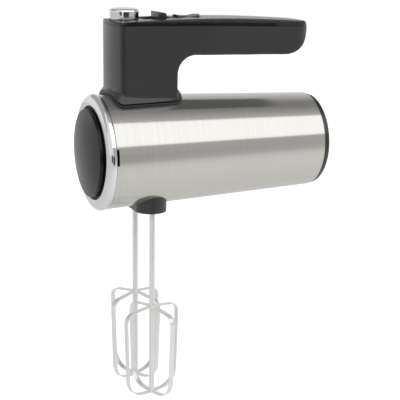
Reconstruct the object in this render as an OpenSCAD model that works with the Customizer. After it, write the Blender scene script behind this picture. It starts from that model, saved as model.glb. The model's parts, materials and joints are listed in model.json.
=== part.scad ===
// Hand mixer with a tapered steel barrel, a cantilevered handle and two wire beaters.
// Millimetres, +Z up. X runs along the barrel from the nose (-X) to the heel (+X).
// Every module is laid out in the barrel's own frame: x = 0 where the steel meets the
// nose ring, z = 0 on the motor axis. from_grip() then moves it to the row's origin,
// the middle of the grip.

/* [Barrel] */
// Radius of the steel barrel at the nose
front_r = 43.5; // [43:0.5:44]
// Radius of the steel barrel at the heel
rear_r = 37.5; // [37:0.5:38]
// Length of the steel barrel
barrel_len = 174.5; // [173:0.5:178]
// Thickness of the steel sheet
steel_t = 0.8; // [0.6:0.1:0.9]
// Thickness of the heel cap behind the steel
heel_t = 5.5; // [5:0.5:7]

/* [Nose] */
// Largest radius of the chromed nose ring
ring_r = 44.1; // [43.8:0.1:44.6]
// Radius of the opening in the nose ring
mouth_r = 35.5; // [35:0.1:35.9]
// Radius of the domed nose cap
nose_r = 33.3; // [32:0.1:33.6]
// Height of the dome on the nose cap
nose_rise = 3.1; // [2.5:0.1:6]

/* [Handle] */
// Front corners of the handle post
post_front = 10.4; // [10:0.2:11]
// Bow of the post's front face ahead of its corners
post_bow = 2.4; // [2.2:0.1:2.6]
// Back of the handle post
post_back = 56.2; // [54.6:0.2:57]
// Rear tip of the handle
arm_end = 172; // [170:0.5:175]
// Underside of the handle arm above the motor axis
arm_floor = 73.8; // [72.6:0.2:75]
// Height of the seam under the top cover, at the front
seam_front = 95.6; // [95.2:0.1:95.8]
// Highest point of the top cover's crown
crown_top = 100.4; // [100.2:0.1:101]
// Width of the handle at its front, along the seam
front_w = 41; // [40:0.5:46]
// Width of the handle at its rear, along the seam
tail_w = 35; // [34:0.5:37]

/* [Controls] */
// Radius of the eject knob
knob_r = 10.9; // [10.5:0.1:11]
// Travel of the eject knob
eject_travel = 5; // [4:0.5:5]
// Travel of the speed slider
speed_travel = 10.5; // [8:0.5:10.5]
// Travel of the turbo button
turbo_travel = 1.6; // [1:0.1:1.6]

/* [Beaters] */
// Distance between the two beater shafts
spread = 38; // [38:0.5:38]
// Place of the beaters along the barrel
beater_x = 36; // [36:0.5:36]
// Diameter of a beater shaft
shaft_d = 4.4; // [4.4:0.1:4.4]
// Outer radius of a beater cage
cage_r = 25.8; // [24:0.1:26]
// Height of the cage's top crossing, below the motor axis
cage_top = -120.5; // [-122:0.5:-118]
// Height of the cage's bottom crossing, below the motor axis
cage_bottom = -193.5; // [-196:0.5:-190]
// Width of a cage strip
strip_w = 4.4; // [4:0.1:5]
// Thickness of a cage strip
strip_t = 0.9; // [0.8:0.1:1.2]

/* [Hidden] */

$fn = 96;
eps = 0.01;

// Middle of the grip, which is the row's origin
grip_x = 105;
grip_z = 84;

// Grip clearances
run_fit = 0.05;
gap = 0.35;

// Motor and gear train
worm_pitch_r = 4;
worm_tip_r = 5;
worm_root_r = 2.7;
worm_starts = 2;
gear_teeth = 26;
gear_pitch_r = spread / 2 - worm_pitch_r;
tooth_pitch = 2 * PI * gear_pitch_r / gear_teeth;
worm_lead = worm_starts * tooth_pitch;
gear_tip_r = gear_pitch_r + 1;
gear_root_r = gear_pitch_r - 1.35;
gear_h = 7;
gear_bore_r = 4.5;
gear_twist = -gear_h * 360 * worm_lead / (2 * PI * worm_pitch_r) / (2 * PI * gear_pitch_r);
worm_x0 = 21;
worm_len = 30;
motor_shaft_r = 2.5;
waist_r = 1.6;
spindle_r = 4.5;
spindle_foot = -42.5;
spindle_top = 16;
socket_foot = -44.8;
core_r = 19.3;
core_x0 = 82;
core_len = 34;
stator_air = 0.5;
commutator_r = 10;
commutator_x = 126;
commutator_len = 13;

// Gearbox frame
deck_z = -16;
deck_t = 4;
lid_z = 11;
lid_t = 4;
pillars = [[14, 29], [51.5, 32]];

// Eject mechanism
knob_x = 20.6;
knob_foot = 97.6;
knob_h = 9;
yoke_z = 25;
pin_r = 1.8;
beater_top = 5.5;

// Speed slider and turbo button
track_x = [32.6, 57.4];
track_w = 21;
track_floor = 96.8;
thumb_x = 47.8;
thumb_l = 6;
thumb_w = 18;
turbo_x = 70;
turbo_l = 22;
turbo_w = 13;

// Board in the handle
board_z = 78;
board_t = 1.6;

// ---------- frames and shared shapes ----------

module from_grip() {
  translate([-grip_x, 0, -grip_z]) children();
}

// Turns a shape that stands on z so that it lies along the barrel from x
module along_x(x = 0) {
  translate([x, 0, 0]) rotate([0, 90, 0]) children();
}

module mirror_y() {
  children();
  mirror([0, 1, 0]) children();
}

module at_beaters() {
  for (side = [-1, 1]) translate([beater_x, side * spread / 2, 0]) children();
}

function barrel_r(x) = front_r + (rear_r - front_r) * x / barrel_len;

// Height of the seam between handle shell and top cover
function seam_z(x) = seam_front - 0.0105 * (x - post_front) - 0.00009 * pow(x - post_front, 2);

// Cone inside the steel, from x0 to x1, inset by a clearance
module barrel_inside(x0, x1, inset) {
  off = steel_t + inset;
  along_x(x0) cylinder(h = x1 - x0, r1 = barrel_r(x0) - off, r2 = barrel_r(x1) - off);
}

// Cone round the steel, from x0 to x1, standing off by a distance
module barrel_outside(x0, x1, off) {
  along_x(x0) cylinder(h = x1 - x0, r1 = barrel_r(x0) + off, r2 = barrel_r(x1) + off);
}

// Upright outline with round ends, long side along Y
module oval_post(half_len, r, z0, z1) {
  translate([0, 0, z0]) {
    for (side = [-1, 1]) translate([0, side * half_len, 0]) cylinder(h = z1 - z0, r = r);
    translate([-r, -half_len, 0]) cube([2 * r, 2 * half_len, z1 - z0]);
  }
}

// Pan-head screw pointing down, head's underside at z = 0
module screw(len, r = 1.4, head_r = 2.9, head_h = 1.8) {
  difference() {
    union() {
      translate([0, 0, -len]) cylinder(h = len + eps, r = r);
      cylinder(h = head_h, r = head_r);
    }
    for (a = [0, 90])
      rotate([0, 0, a]) translate([-head_r * 0.6, -0.4, head_h - 0.8]) cube([head_r * 1.2, 0.8, 1]);
  }
}

// Open coil spring of round wire, standing on z = 0
module coil(r, wire, turns, h, per_turn = 16, sides = 6) {
  rings = per_turn * turns;
  rise = h - 2 * wire;
  polyhedron(
    points = [for (i = [0:rings], j = [0:sides - 1]) let (
      turn = 360 * i / per_turn,
      out = r + wire * cos(360 * j / sides),
      up = wire + rise * i / rings + wire * sin(360 * j / sides))
      [out * cos(turn), out * sin(turn), up]],
    faces = concat(
      [for (i = [0:rings - 1], j = [0:sides - 1]) let (k = (j + 1) % sides)
        [i * sides + j, i * sides + k, (i + 1) * sides + k, (i + 1) * sides + j]],
      [[for (j = [sides - 1:-1:0]) j]],
      [[for (j = [0:sides - 1]) rings * sides + j]]),
    convexity = 6);
}

// ---------- barrel and its end pieces ----------

socket_half = 15.4;
socket_r = 12.2;
neck = [15.6, 50, 11];

module barrel_sleeve() {
  from_grip() color("lightgray") difference() {
    barrel_outside(0, barrel_len, 0);
    barrel_inside(-eps, barrel_len + eps, 0);
    // window for the socket housing
    translate([beater_x, 0, 0]) oval_post(socket_half, socket_r + 0.2, -60, -20);
    // window for the handle post's neck
    translate([neck[0], -neck[2], 20]) cube([neck[1] - neck[0], 2 * neck[2], 40]);
    catch_slots();
    handle_screw_places() cylinder(h = 30, r = 1.7, center = true);
  }
}

// Slots beside the nose ring, one on each side, for the catches that hold it
module catch_slots() {
  mirror_y() translate([-0.4, 38, -2]) cube([2.1, 8, 12]);
}

// Stations along the barrel: front of the mouth, floor of its recess, rim of the cap
mouth_x = -6.5;
recess_x = -4.2;
rim_x = -9.6;
seal_t = 1.2;
cap_t = 2.2;
nose_bore_r = 27.2;
ring_wall = 2.4;
collar_r = 42.3;
collar_len = 7;

module nose_ring() {
  from_grip() color("gainsboro") difference() {
    along_x() rotate_extrude() polygon([
      [front_r, 0], [ring_r, -1.2], [ring_r, -3.2], [ring_r - 0.9, -4.6], [ring_r - 2.4, -5.7],
      [mouth_r + 0.8, mouth_x - 0.2], [mouth_r, mouth_x + 0.3], [mouth_r, recess_x],
      [nose_bore_r, recess_x], [nose_bore_r, recess_x + ring_wall],
      [collar_r - 5, recess_x + ring_wall], [collar_r - 2.7, 0.6],
      [collar_r - 2.7, collar_len], [collar_r, collar_len], [collar_r, 0]]);
    catch_slots();
  }
}

module nose_seal() {
  from_grip() color("black") along_x(recess_x - seal_t) difference() {
    cylinder(h = seal_t, r = mouth_r - 0.01);
    translate([0, 0, -1]) cylinder(h = seal_t + 2, r = nose_bore_r);
  }
}

nose_ball_r = (pow(nose_r, 2) + pow(nose_rise, 2)) / (2 * nose_rise);

// Dome whose rim stands proud of the mouth, on a tube that plugs into the ring's bore
module nose_cap() {
  from_grip() color("dimgray") {
    difference() {
      intersection() {
        translate([rim_x - nose_rise + nose_ball_r, 0, 0]) sphere(r = nose_ball_r, $fn = 256);
        along_x(-15) cylinder(h = 15 + rim_x + cap_t, r = nose_r);
      }
      intersection() {
        translate([rim_x + cap_t - nose_rise + nose_ball_r, 0, 0]) sphere(r = nose_ball_r, $fn = 256);
        along_x(-15) cylinder(h = 20, r = nose_bore_r - 2.2);
      }
    }
    along_x(rim_x + cap_t - eps) difference() {
      cylinder(h = recess_x + ring_wall + 1 - rim_x - cap_t, r = nose_bore_r - 0.05);
      translate([0, 0, -1]) cylinder(h = 15, r = nose_bore_r - 2.2);
    }
  }
}

heel_screw_angles = [30, 150, 270];
gland_z = 22;
gland_r = 5.4;

module at_heel_screws() {
  for (a = heel_screw_angles) rotate([a, 0, 0]) translate([0, 27, 0]) children();
}

module heel_cap() {
  from_grip() color("dimgray") difference() {
    union() {
      along_x(barrel_len) rotate_extrude() {
        square([rear_r - 3.6, heel_t]);
        translate([0, 0.2]) square([rear_r - 0.6, heel_t - 3.2]);
        translate([rear_r - 3.6, heel_t - 3]) circle(r = 3);
      }
      along_x(barrel_len - 9) difference() {
        cylinder(h = 9.3, r = rear_r - steel_t - 0.05);
        translate([0, 0, -1]) cylinder(h = 11.2, r = rear_r - steel_t - 2.4);
      }
      at_heel_screws() along_x(barrel_len - 14) cylinder(h = 14.5, r = 3.6);
    }
    // screw holes and their counterbores
    at_heel_screws() along_x(barrel_len - 20) cylinder(h = 40, r = 1.55);
    at_heel_screws() along_x(barrel_len + heel_t - 2.4) cylinder(h = 5, r = 3.2);
    // cord hole with a trough that lets the cord leave when the mixer stands on its heel
    translate([0, 0, gland_z]) along_x(barrel_len - 1) cylinder(h = heel_t + 4, r = gland_r);
    translate([barrel_len + 2.2, -gland_r, gland_z]) cube([heel_t, 2 * gland_r, 40]);
    // air outlets
    for (i = [-2:2]) translate([barrel_len - 1, -14, i * 5 - 6]) cube([heel_t + 4, 28, 2.4]);
  }
}

module heel_screws() {
  from_grip() color("silver") at_heel_screws()
    along_x(barrel_len + heel_t - 2.4) screw(26, r = 1.5, head_r = 3);
}

module cord_gland() {
  from_grip() color("black") translate([0, 0, gland_z]) difference() {
    union() {
      along_x(barrel_len - 4) cylinder(h = 6.2, r = gland_r - 0.02);
      along_x(barrel_len - 4) cylinder(h = 3.9, r = gland_r + 1.8);
    }
    along_x(barrel_len - 6) cylinder(h = 12, r = 3.6);
  }
}

module cord_clamp() {
  from_grip() color("dimgray") difference() {
    union() {
      translate([150, -9, gland_z - 9]) cube([10, 18, 4.6]);
      translate([150, -9, gland_z + 3.6]) cube([10, 18, 2.6]);
    }
    translate([0, 0, gland_z]) along_x(148) cylinder(h = 16, r = 3.7);
    for (side = [-1, 1])
      translate([155, side * 6.6, gland_z - 12]) cylinder(h = 30, r = 1.45);
  }
}

module cord_clamp_screws() {
  from_grip() color("silver") for (side = [-1, 1])
    translate([155, side * 6.6, gland_z + 6.2]) screw(14);
}

// ---------- handle ----------

// Fall of the arm's underside from the post to the tail
arm_sag = 2.7;

// Slant of the tail, inwards to the bottom
tail_slant = 8;

// How much wider the handle's outline is at its foot
plan_draft = 2;

// Crown of the top cover, along the handle and across it
crown_x = 70;
crown_long_r = 1240;
crown_cross_r = 300;

function crown_z(x) = crown_top - pow(x - crown_x, 2) / (2 * crown_long_r);

// Plan outline of the handle at one height, wide at the bowed front
module plan_slice(z, widen, inset) {
  bow_half = (front_w + widen) / 2 - 4;
  bow_r = (pow(bow_half, 2) + pow(post_bow, 2)) / (2 * post_bow);
  translate([0, 0, z]) linear_extrude(height = eps) {
    for (side = [-1, 1]) {
      translate([post_front + 4, side * bow_half]) circle(r = 4 - inset, $fn = 32);
      translate([arm_end - 16.5, side * ((tail_w + widen) / 2 - 15)]) circle(r = 15 - inset, $fn = 48);
    }
    translate([arm_end - 17, 0]) circle(r = 17 - inset, $fn = 64);
    polygon([for (y = [-bow_half:bow_half / 8:bow_half])
      [post_front - post_bow + inset + bow_r - sqrt(pow(bow_r, 2) - pow(y, 2)), y]]);
  }
}

module plan_body(inset) {
  hull() {
    plan_slice(34, plan_draft, inset);
    plan_slice(106, -0.5, inset);
  }
}

// Points of an arc that rounds the corner at b between a and c
function corner_arc(a, b, c, r, steps) = let (
  u = (a - b) / norm(a - b),
  v = (c - b) / norm(c - b),
  half = acos(u * v) / 2,
  mid = b + (u + v) / norm(u + v) * r / sin(half),
  from = b + u * r / tan(half) - mid,
  to = b + v * r / tan(half) - mid,
  start = atan2(from[1], from[0]),
  sweep = atan2(cross(from, to), from * to))
  [for (i = [0:steps]) mid + r * [cos(start + sweep * i / steps), sin(start + sweep * i / steps)]];

// Side outline of the whole handle, up past the cover: post, fillet, arm and rounded tail
module side_outline(inset) {
  nose = post_front - post_bow + inset;
  back = post_back - inset;
  tip = arm_end - inset;
  heel = tip - tail_slant;
  under = arm_floor + inset;
  shoulder = crown_z(arm_end) + 0.1 - inset;
  crest = shoulder + 0.082 * (tip - back);
  polygon(concat(
    [[nose, 0], [back, 0]],
    corner_arc([back, 0], [back, under], [heel, under - arm_sag], 14 + inset, 14),
    corner_arc([back, under], [heel, under - arm_sag], [tip, shoulder], 20 - inset, 16),
    corner_arc([heel, under], [tip, shoulder], [back, crest], 4 - inset, 8),
    [[back, crest], [nose, crest + 3.6]]));
}

// Everything below a curve that runs a distance above the seam
module under_seam(above) {
  rotate([90, 0, 0]) translate([0, 0, -60]) linear_extrude(height = 120) polygon(concat(
    [[arm_end + 5, -10], [-5, -10]],
    [for (x = [-5:10:arm_end + 5]) [x, seam_z(x) + above]]));
}

module side_body(inset) {
  rotate([90, 0, 0]) translate([0, 0, -60]) linear_extrude(height = 120) side_outline(inset);
}

module handle_solid(inset) {
  intersection() {
    side_body(inset);
    plan_body(inset);
  }
}

base_off = 1.5;

// Flange that follows the barrel round the foot of the post
module foot_plan(grow) {
  translate([0, 0, 25]) linear_extrude(height = 36) hull() {
    for (side = [-1, 1]) {
      translate([post_front + 1.6, side * 16.6]) circle(r = 5 + grow, $fn = 32);
      translate([post_back - 4.2, side * 9.8]) circle(r = 10 + grow, $fn = 48);
    }
  }
}

module foot_flange(from, to, grow) {
  intersection() {
    difference() {
      barrel_outside(1, 75, to);
      barrel_outside(0, 76, from);
    }
    foot_plan(grow);
  }
}

// The post's foot flares out to the flange in three low steps
flare = [[4.2, 0], [5.4, -1], [7.6, -2.1]];

module post_gasket() {
  from_grip() color("black") difference() {
    foot_flange(0.02, base_off, 0.6);
    translate([neck[0], -neck[2], 20]) cube([neck[1] - neck[0], 2 * neck[2], 40]);
    handle_screw_places() cylinder(h = 30, r = 1.7, center = true);
  }
}

handle_screw_spots = [[15, 14.8], [52, 13]];

module handle_screw_places() {
  for (p = handle_screw_spots, side = [-1, 1]) translate([p[0], side * p[1], 36]) children();
}

cover_screw_x = [104, 152];
cover_screw_head_z = 77;

module handle_shell() {
  from_grip() color("dimgray") difference() {
    union() {
      difference() {
        union() {
          intersection() {
            handle_solid(0);
            under_seam(-0.15);
          }
          for (step = flare) foot_flange(base_off - 0.5, step[0], step[1]);
        }
        difference() {
          handle_solid(2.4);
          barrel_outside(1, 75, 4.6);
        }
        // the cavity opens upwards under the cover
        intersection() {
          translate([post_front + 2.6, -40, 80]) cube([arm_end - 22 - post_front, 80, 30]);
          plan_body(2.4);
        }
        translate([neck[0], -neck[2], 20]) cube([neck[1] - neck[0], 2 * neck[2], 40]);
      }
      // bosses for the screws that hold the post on the barrel
      handle_screw_places() cylinder(h = 22, r = 3.4);
      // shelf that the eject spring stands on, rests of the control board, cover screw bosses
      intersection() {
        union() {
          difference() {
            translate([knob_x - 8, -30, 66]) cube([16, 60, 4]);
            translate([knob_x, 0, 60]) cylinder(h = 20, r = 3.9);
          }
          for (x = [31, 90]) translate([x, -30, board_z - 5]) cube([4, 60, 5]);
          for (x = cover_screw_x) translate([x, 0, 60]) cylinder(h = seam_z(x) - 0.2 - 60, r = 4.6);
        }
        handle_solid(1);
      }
    }
    barrel_outside(1, 75, base_off + 0.01);
    handle_screw_places() cylinder(h = 36, r = 1.42, center = true);
    for (x = cover_screw_x) {
      translate([x, 0, 50]) cylinder(h = 80, r = 1.6);
      translate([x, 0, 50]) cylinder(h = cover_screw_head_z - 50, r = 3.2);
    }
    // well that the eject knob sinks into
    translate([knob_x, 0, knob_foot - eject_travel - 0.6]) cylinder(h = 20, r = knob_r + 0.4);
    for (x = [33, 92], side = [-1, 1]) translate([x, side * 10, board_z - 5.5]) cylinder(h = 8, r = 1.02);
  }
}

// Height of the inside of the steel above the axis, at one place
function steel_roof(x, y) = sqrt(pow(barrel_r(x) - steel_t, 2) - pow(y, 2));

module handle_screws() {
  from_grip() color("silver") for (p = handle_screw_spots, side = [-1, 1])
    translate([p[0], side * p[1], steel_roof(p[0], p[1] + 3) - 0.2]) mirror([0, 0, 1]) screw(15);
}

// Body whose top is crowned both along the handle and across it
module crown_body(drop) {
  translate([crown_x, 0, crown_top - drop - crown_long_r]) rotate([90, 0, 0])
    rotate_extrude($fn = 720) intersection() {
      translate([crown_long_r - crown_cross_r, 0]) circle(r = crown_cross_r, $fn = 360);
      translate([crown_long_r - 40, -30]) square([50, 60]);
    }
}

module cover_form(drop, inset) {
  intersection() {
    plan_body(inset);
    side_body(inset);
    crown_body(drop);
  }
}

module oval_plate(l, w, z0, z1) {
  translate([0, 0, z0]) {
    for (end = [-1, 1]) translate([end * (l - w) / 2, 0, 0]) cylinder(h = z1 - z0, r = w / 2);
    translate([-(l - w) / 2, -w / 2, 0]) cube([l - w, w, z1 - z0]);
  }
}

// Flat pad with rounded corners
module pad(l, w, r, z0, z1) {
  translate([0, 0, z0]) {
    translate([-l / 2 + r, -w / 2, 0]) cube([l - 2 * r, w, z1 - z0]);
    translate([-l / 2, -w / 2 + r, 0]) cube([l, w - 2 * r, z1 - z0]);
    for (x = [-1, 1], y = [-1, 1])
      translate([x * (l / 2 - r), y * (w / 2 - r), 0]) cylinder(h = z1 - z0, r = r);
  }
}

module handle_cover() {
  from_grip() color("gray") difference() {
    cover_form(0, 0);
    under_seam(0.15);
    difference() {
      cover_form(2.2, 2.4);
      // the rim keeps a foot where it is screwed down
      for (x = cover_screw_x) translate([x, 0, 80]) cylinder(h = 30, r = 3.4);
      translate([knob_x, 0, 80]) cylinder(h = 30, r = knob_r + 2);
    }
    groove_band();
    translate([knob_x, 0, 60]) cylinder(h = 60, r = knob_r + 0.4);
    translate([(track_x[0] + track_x[1]) / 2, 0, 0])
      pad(track_x[1] - track_x[0], track_w, 2, 80, 120);
    translate([turbo_x, 0, 0]) oval_plate(turbo_l + 0.8, turbo_w + 0.8, 80, 120);
    for (x = cover_screw_x) translate([x, 0, 60]) cylinder(h = seam_z(x) - 57, r = 1.42);
  }
}

// Shadow groove along both sides, just above the seam
module groove_band() {
  difference() {
    translate([post_front + 2.5, -40, 60]) cube([139, 80, 60]);
    plan_body(1.5);
    difference() {
      translate([0, -50, 0]) cube([200, 100, 130]);
      under_seam(2.5);
    }
  }
}

module cover_screws() {
  from_grip() color("silver") for (x = cover_screw_x)
    translate([x, 0, cover_screw_head_z]) mirror([0, 0, 1]) screw(seam_z(x) + 2.6 - cover_screw_head_z);
}

module slider_track() {
  from_grip() color("black") translate([(track_x[0] + track_x[1]) / 2, 0, 0]) difference() {
    pad(track_x[1] - track_x[0] - 0.1, track_w - 0.1, 2, 94, 99);
    pad(track_x[1] - track_x[0] - 1.6, track_w - 1.6, 1.4, track_floor, 110);
    translate([-speed_travel, -1.9, 80]) cube([speed_travel + 7, 3.8, 40]);
  }
}

// ---------- gearbox ----------

module socket_housing() {
  from_grip() color("dimgray") difference() {
    union() {
      translate([beater_x, 0, 0]) oval_post(socket_half, socket_r, socket_foot, -30);
      // collar that bears on the inside of the steel
      intersection() {
        translate([beater_x, 0, 0]) oval_post(socket_half + 1, socket_r + 1.8, -45, deck_z - 8);
        barrel_inside(1, 70, 0.02);
      }
    }
    translate([beater_x, 0, 0]) oval_post(socket_half, socket_r - 3, -32, 8);
    at_beaters() translate([0, 0, -60]) cylinder(h = 60, r = spindle_r + 0.5);
    translate([beater_x, 0, -70]) cylinder(h = 60, r = 1.6);
    translate([beater_x, 0, socket_foot - eps]) cylinder(h = 2.4 + eps, r = 3.2);
  }
}

module socket_screws() {
  from_grip() color("silver") translate([beater_x, 0, socket_foot + 2.4])
    mirror([0, 0, 1]) screw(24, r = 1.5, head_r = 3);
}

module at_pillars() {
  for (p = pillars, side = [-1, 1]) translate([p[0], side * p[1], 0]) children();
}

module gearbox_base() {
  from_grip() color("whitesmoke") difference() {
    union() {
      intersection() {
        union() {
          translate([8, -37, deck_z]) cube([50, 74, deck_t]);
          // side rails down to the barrel wall
          mirror_y() translate([8, 31.4, -36]) cube([50, 3, 21]);
          // front wall with the seat of the nose bearing
          translate([8, -20, deck_z]) cube([6, 40, 25]);
          at_pillars() translate([0, 0, deck_z]) cylinder(h = lid_z - deck_z, r = 3.5);
        }
        barrel_inside(1, 70, 0.02);
      }
      at_beaters() translate([0, 0, -24]) cylinder(h = 9, r = 8);
      translate([beater_x, 0, -32 + eps]) cylinder(h = 17, r = 4.6);
    }
    at_beaters() translate([0, 0, -60]) cylinder(h = 80, r = 6.5);
    along_x(5) cylinder(h = 20, r = 5);
    at_pillars() translate([0, 0, -8]) cylinder(h = 30, r = 1.42);
    translate([beater_x, 0, -50]) cylinder(h = 45, r = 1.52);
  }
}

module gearbox_lid() {
  from_grip() color("whitesmoke") difference() {
    intersection() {
      translate([8, -37, lid_z]) cube([50, 74, lid_t]);
      barrel_inside(1, 70, 0.02);
    }
    at_beaters() cylinder(h = 40, r = 6.5);
    at_pillars() cylinder(h = 40, r = 1.42);
  }
}

module gearbox_screws() {
  from_grip() color("silver") at_pillars() translate([0, 0, lid_z + lid_t]) screw(18);
}

module bush(z0, h) {
  difference() {
    translate([0, 0, z0]) cylinder(h = h, r = 6.48);
    translate([0, 0, z0 - 1]) cylinder(h = h + 2, r = spindle_r + run_fit);
  }
}

module spindle_bushes_lower() {
  from_grip() color("darkkhaki") at_beaters() bush(-24, 12);
}

module spindle_bushes_upper() {
  from_grip() color("darkkhaki") at_beaters() bush(lid_z, lid_t);
}

// Outline of a gear with its tooth gap on the +X axis
module gear_outline() {
  step = 360 / gear_teeth;
  polygon([for (i = [0:gear_teeth - 1]) for (p = [
    [gear_root_r, 0.21], [gear_pitch_r, 0.31], [gear_tip_r, 0.38],
    [gear_tip_r, 0.62], [gear_pitch_r, 0.69], [gear_root_r, 0.79]])
      p[0] * [cos((i + p[1]) * step), sin((i + p[1]) * step)]]);
}

module worm_gear(mesh_angle) {
  difference() {
    union() {
      difference() {
        rotate([0, 0, mesh_angle + gear_twist / 2]) translate([0, 0, -gear_h / 2])
          linear_extrude(height = gear_h, twist = gear_twist, slices = 4, convexity = 10) gear_outline();
        for (face = [-1, 1]) translate([0, 0, face * (gear_h / 2 + 0.5)])
          cylinder(h = 3, r = 12, center = true);
      }
      // hub that keeps the gear between the deck and the lid
      translate([0, 0, deck_z + deck_t + gap]) cylinder(h = lid_z - deck_z - deck_t - 2 * gap, r = 7);
    }
    translate([0, 0, -20]) cylinder(h = 40, r = gear_bore_r + 0.02);
  }
}

// Hollow spindle: the beater's shaft goes up its bore, and its ears into the slots
module spindle(phase) {
  difference() {
    translate([0, 0, spindle_foot]) cylinder(h = spindle_top - spindle_foot, r = spindle_r);
    translate([0, 0, -80]) cylinder(h = 160, r = shaft_d / 2 + run_fit);
    rotate([0, 0, phase]) translate([-10, -1.05, spindle_foot - 1]) cube([20, 2.1, 7.5]);
  }
}

// The cages are half a quarter turn out of step, so that their strips pass between each other
phase_left = 18.4;
phase_right = 45 - phase_left;

module spindle_left() {
  from_grip() color("silver") translate([beater_x, -spread / 2, 0]) spindle(phase_left);
}

module spindle_right() {
  from_grip() color("silver") translate([beater_x, spread / 2, 0]) spindle(phase_right);
}

module gear_left() {
  from_grip() color("ivory") translate([beater_x, -spread / 2, 0]) worm_gear(90);
}

module gear_right() {
  from_grip() color("ivory") translate([beater_x, spread / 2, 0]) worm_gear(270);
}

// ---------- motor ----------

module motor_shaft() {
  from_grip() color("silver") difference() {
    along_x(8.5) cylinder(h = 142, r = motor_shaft_r);
    // waist that carries the worm
    along_x(worm_x0) difference() {
      cylinder(h = worm_len, r = 10);
      translate([0, 0, -1]) cylinder(h = worm_len + 2, r = waist_r);
    }
  }
}

// Two-start right-hand thread on a sleeve that sits on the shaft's waist
module worm() {
  turn = 360 / worm_lead;
  from_grip() color("silver") along_x(worm_x0) difference() {
    rotate([0, 0, 90 - turn * (beater_x - worm_x0)])
      linear_extrude(height = worm_len, twist = -turn * worm_len, slices = 96, convexity = 10, $fn = 20)
        polygon([for (start = [0:worm_starts - 1]) for (p = [
          [worm_root_r, -50], [worm_pitch_r, -33], [worm_tip_r, -18],
          [worm_tip_r, 0], [worm_tip_r, 18], [worm_pitch_r, 33], [worm_root_r, 50],
          [worm_root_r, 70], [worm_root_r, 90], [worm_root_r, 110]])
            p[0] * [cos(start * 360 / worm_starts + p[1]), sin(start * 360 / worm_starts + p[1])]]);
    translate([0, 0, -1]) cylinder(h = worm_len + 2, r = waist_r);
  }
}

module armature_core() {
  from_grip() color("slategray") along_x(core_x0) difference() {
    cylinder(h = core_len, r = core_r);
    translate([0, 0, -1]) cylinder(h = core_len + 2, r = motor_shaft_r);
    for (i = [0:11]) rotate([0, 0, i * 30]) {
      translate([core_r - 1.6, -0.9, -1]) cube([4, 1.8, core_len + 2]);
      translate([13.4, 0, -1]) cylinder(h = core_len + 2, r = 2.4);
      translate([13.4, -1.6, -1]) cube([4.6, 3.2, core_len + 2]);
    }
  }
}

module armature_windings() {
  from_grip() color("peru") {
    for (i = [0:11]) rotate([i * 30, 0, 0]) translate([0, 0, 13.4])
      along_x(core_x0 - 4) cylinder(h = core_len + 8, r = 2.3, $fn = 24);
    for (x = [core_x0 - 4.6, core_x0 + core_len + 0.2]) along_x(x) difference() {
      cylinder(h = 4.4, r = 17);
      translate([0, 0, -1]) cylinder(h = 7, r = motor_shaft_r + 2);
    }
  }
}

module commutator() {
  from_grip() color("chocolate") along_x(commutator_x) difference() {
    union() {
      cylinder(h = commutator_len, r = commutator_r);
      translate([0, 0, -3]) cylinder(h = 3, r = commutator_r + 1.6);
    }
    translate([0, 0, -5]) cylinder(h = 30, r = motor_shaft_r);
    for (i = [0:11]) rotate([0, 0, i * 30]) translate([commutator_r - 1.5, -0.25, -4])
      cube([6, 0.5, 30]);
  }
}

module cooling_fan() {
  from_grip() color("whitesmoke") along_x(67) difference() {
    union() {
      cylinder(h = 1.6, r = 30);
      cylinder(h = 7.6, r = 7);
      for (i = [0:10]) rotate([0, 0, i * 360 / 11]) translate([6, 0, 0])
        rotate([0, 0, -18]) translate([0, -0.7, 0]) cube([22.4, 1.4, 7.6]);
    }
    translate([0, 0, -1]) cylinder(h = 12, r = motor_shaft_r);
  }
}

bolt_y = 27;
bolt_z = 20;

module motor_bolt_places() {
  for (p = [[1, 1], [-1, -1], [1, -1], [-1, 1]]) translate([0, p[0] * bolt_y, p[1] * bolt_z]) children();
}

module motor_front_bracket() {
  from_grip() color("gray") difference() {
    union() {
      intersection() {
        along_x(58) difference() {
          cylinder(h = 5, r = 50);
          for (i = [0:7]) rotate([0, 0, i * 45 + 22.5]) translate([20, 0, -1]) cylinder(h = 8, r = 6);
        }
        barrel_inside(50, 70, 0.02);
      }
      along_x(53.5) cylinder(h = 9.5, r = 8);
    }
    along_x(50) cylinder(h = 30, r = 5);
    motor_bolt_places() along_x(50) cylinder(h = 30, r = 1.6);
    // notches for the leads
    mirror_y() translate([50, 9, 26]) cube([20, 12, 20]);
  }
}

module motor_rear_bracket() {
  from_grip() color("dimgray") difference() {
    union() {
      intersection() {
        along_x(142) difference() {
          cylinder(h = 4, r = 50);
          for (i = [0:5]) rotate([0, 0, i * 60 + 30]) translate([19, 0, -1]) cylinder(h = 8, r = 7);
        }
        barrel_inside(100, 170, 0.02);
      }
      along_x(142) cylinder(h = 9, r = 8);
      // arms that carry the brush holders
      mirror_y() translate([commutator_x + 1, 16, -5.5]) cube([16, 12, 2]);
      // posts that meet the heel cap's screws
      at_heel_screws() along_x(146 - eps) cylinder(h = 14, r = 3.6);
      // pad of the cord clamp
      translate([146 - eps, -9, gland_z - 12]) cube([14, 18, 3]);
    }
    along_x(130) cylinder(h = 30, r = 5);
    motor_bolt_places() along_x(120) cylinder(h = 40, r = 1.6);
    at_heel_screws() along_x(130) cylinder(h = 50, r = 1.52);
    for (side = [-1, 1]) translate([155, side * 6.6, 0]) cylinder(h = 30, r = 1.45);
  }
}

module motor_bolts() {
  from_grip() color("silver") motor_bolt_places() along_x(59) {
    cylinder(h = 89, r = 1.55);
    translate([0, 0, 87.1]) cylinder(h = 2.2, r = 3);
    translate([0, 0, -2.6]) cylinder(h = 1.5, r = 2.8);
    translate([0, 0, -1.2]) cylinder(h = 1.4, r = 1.55);
  }
}

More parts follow.
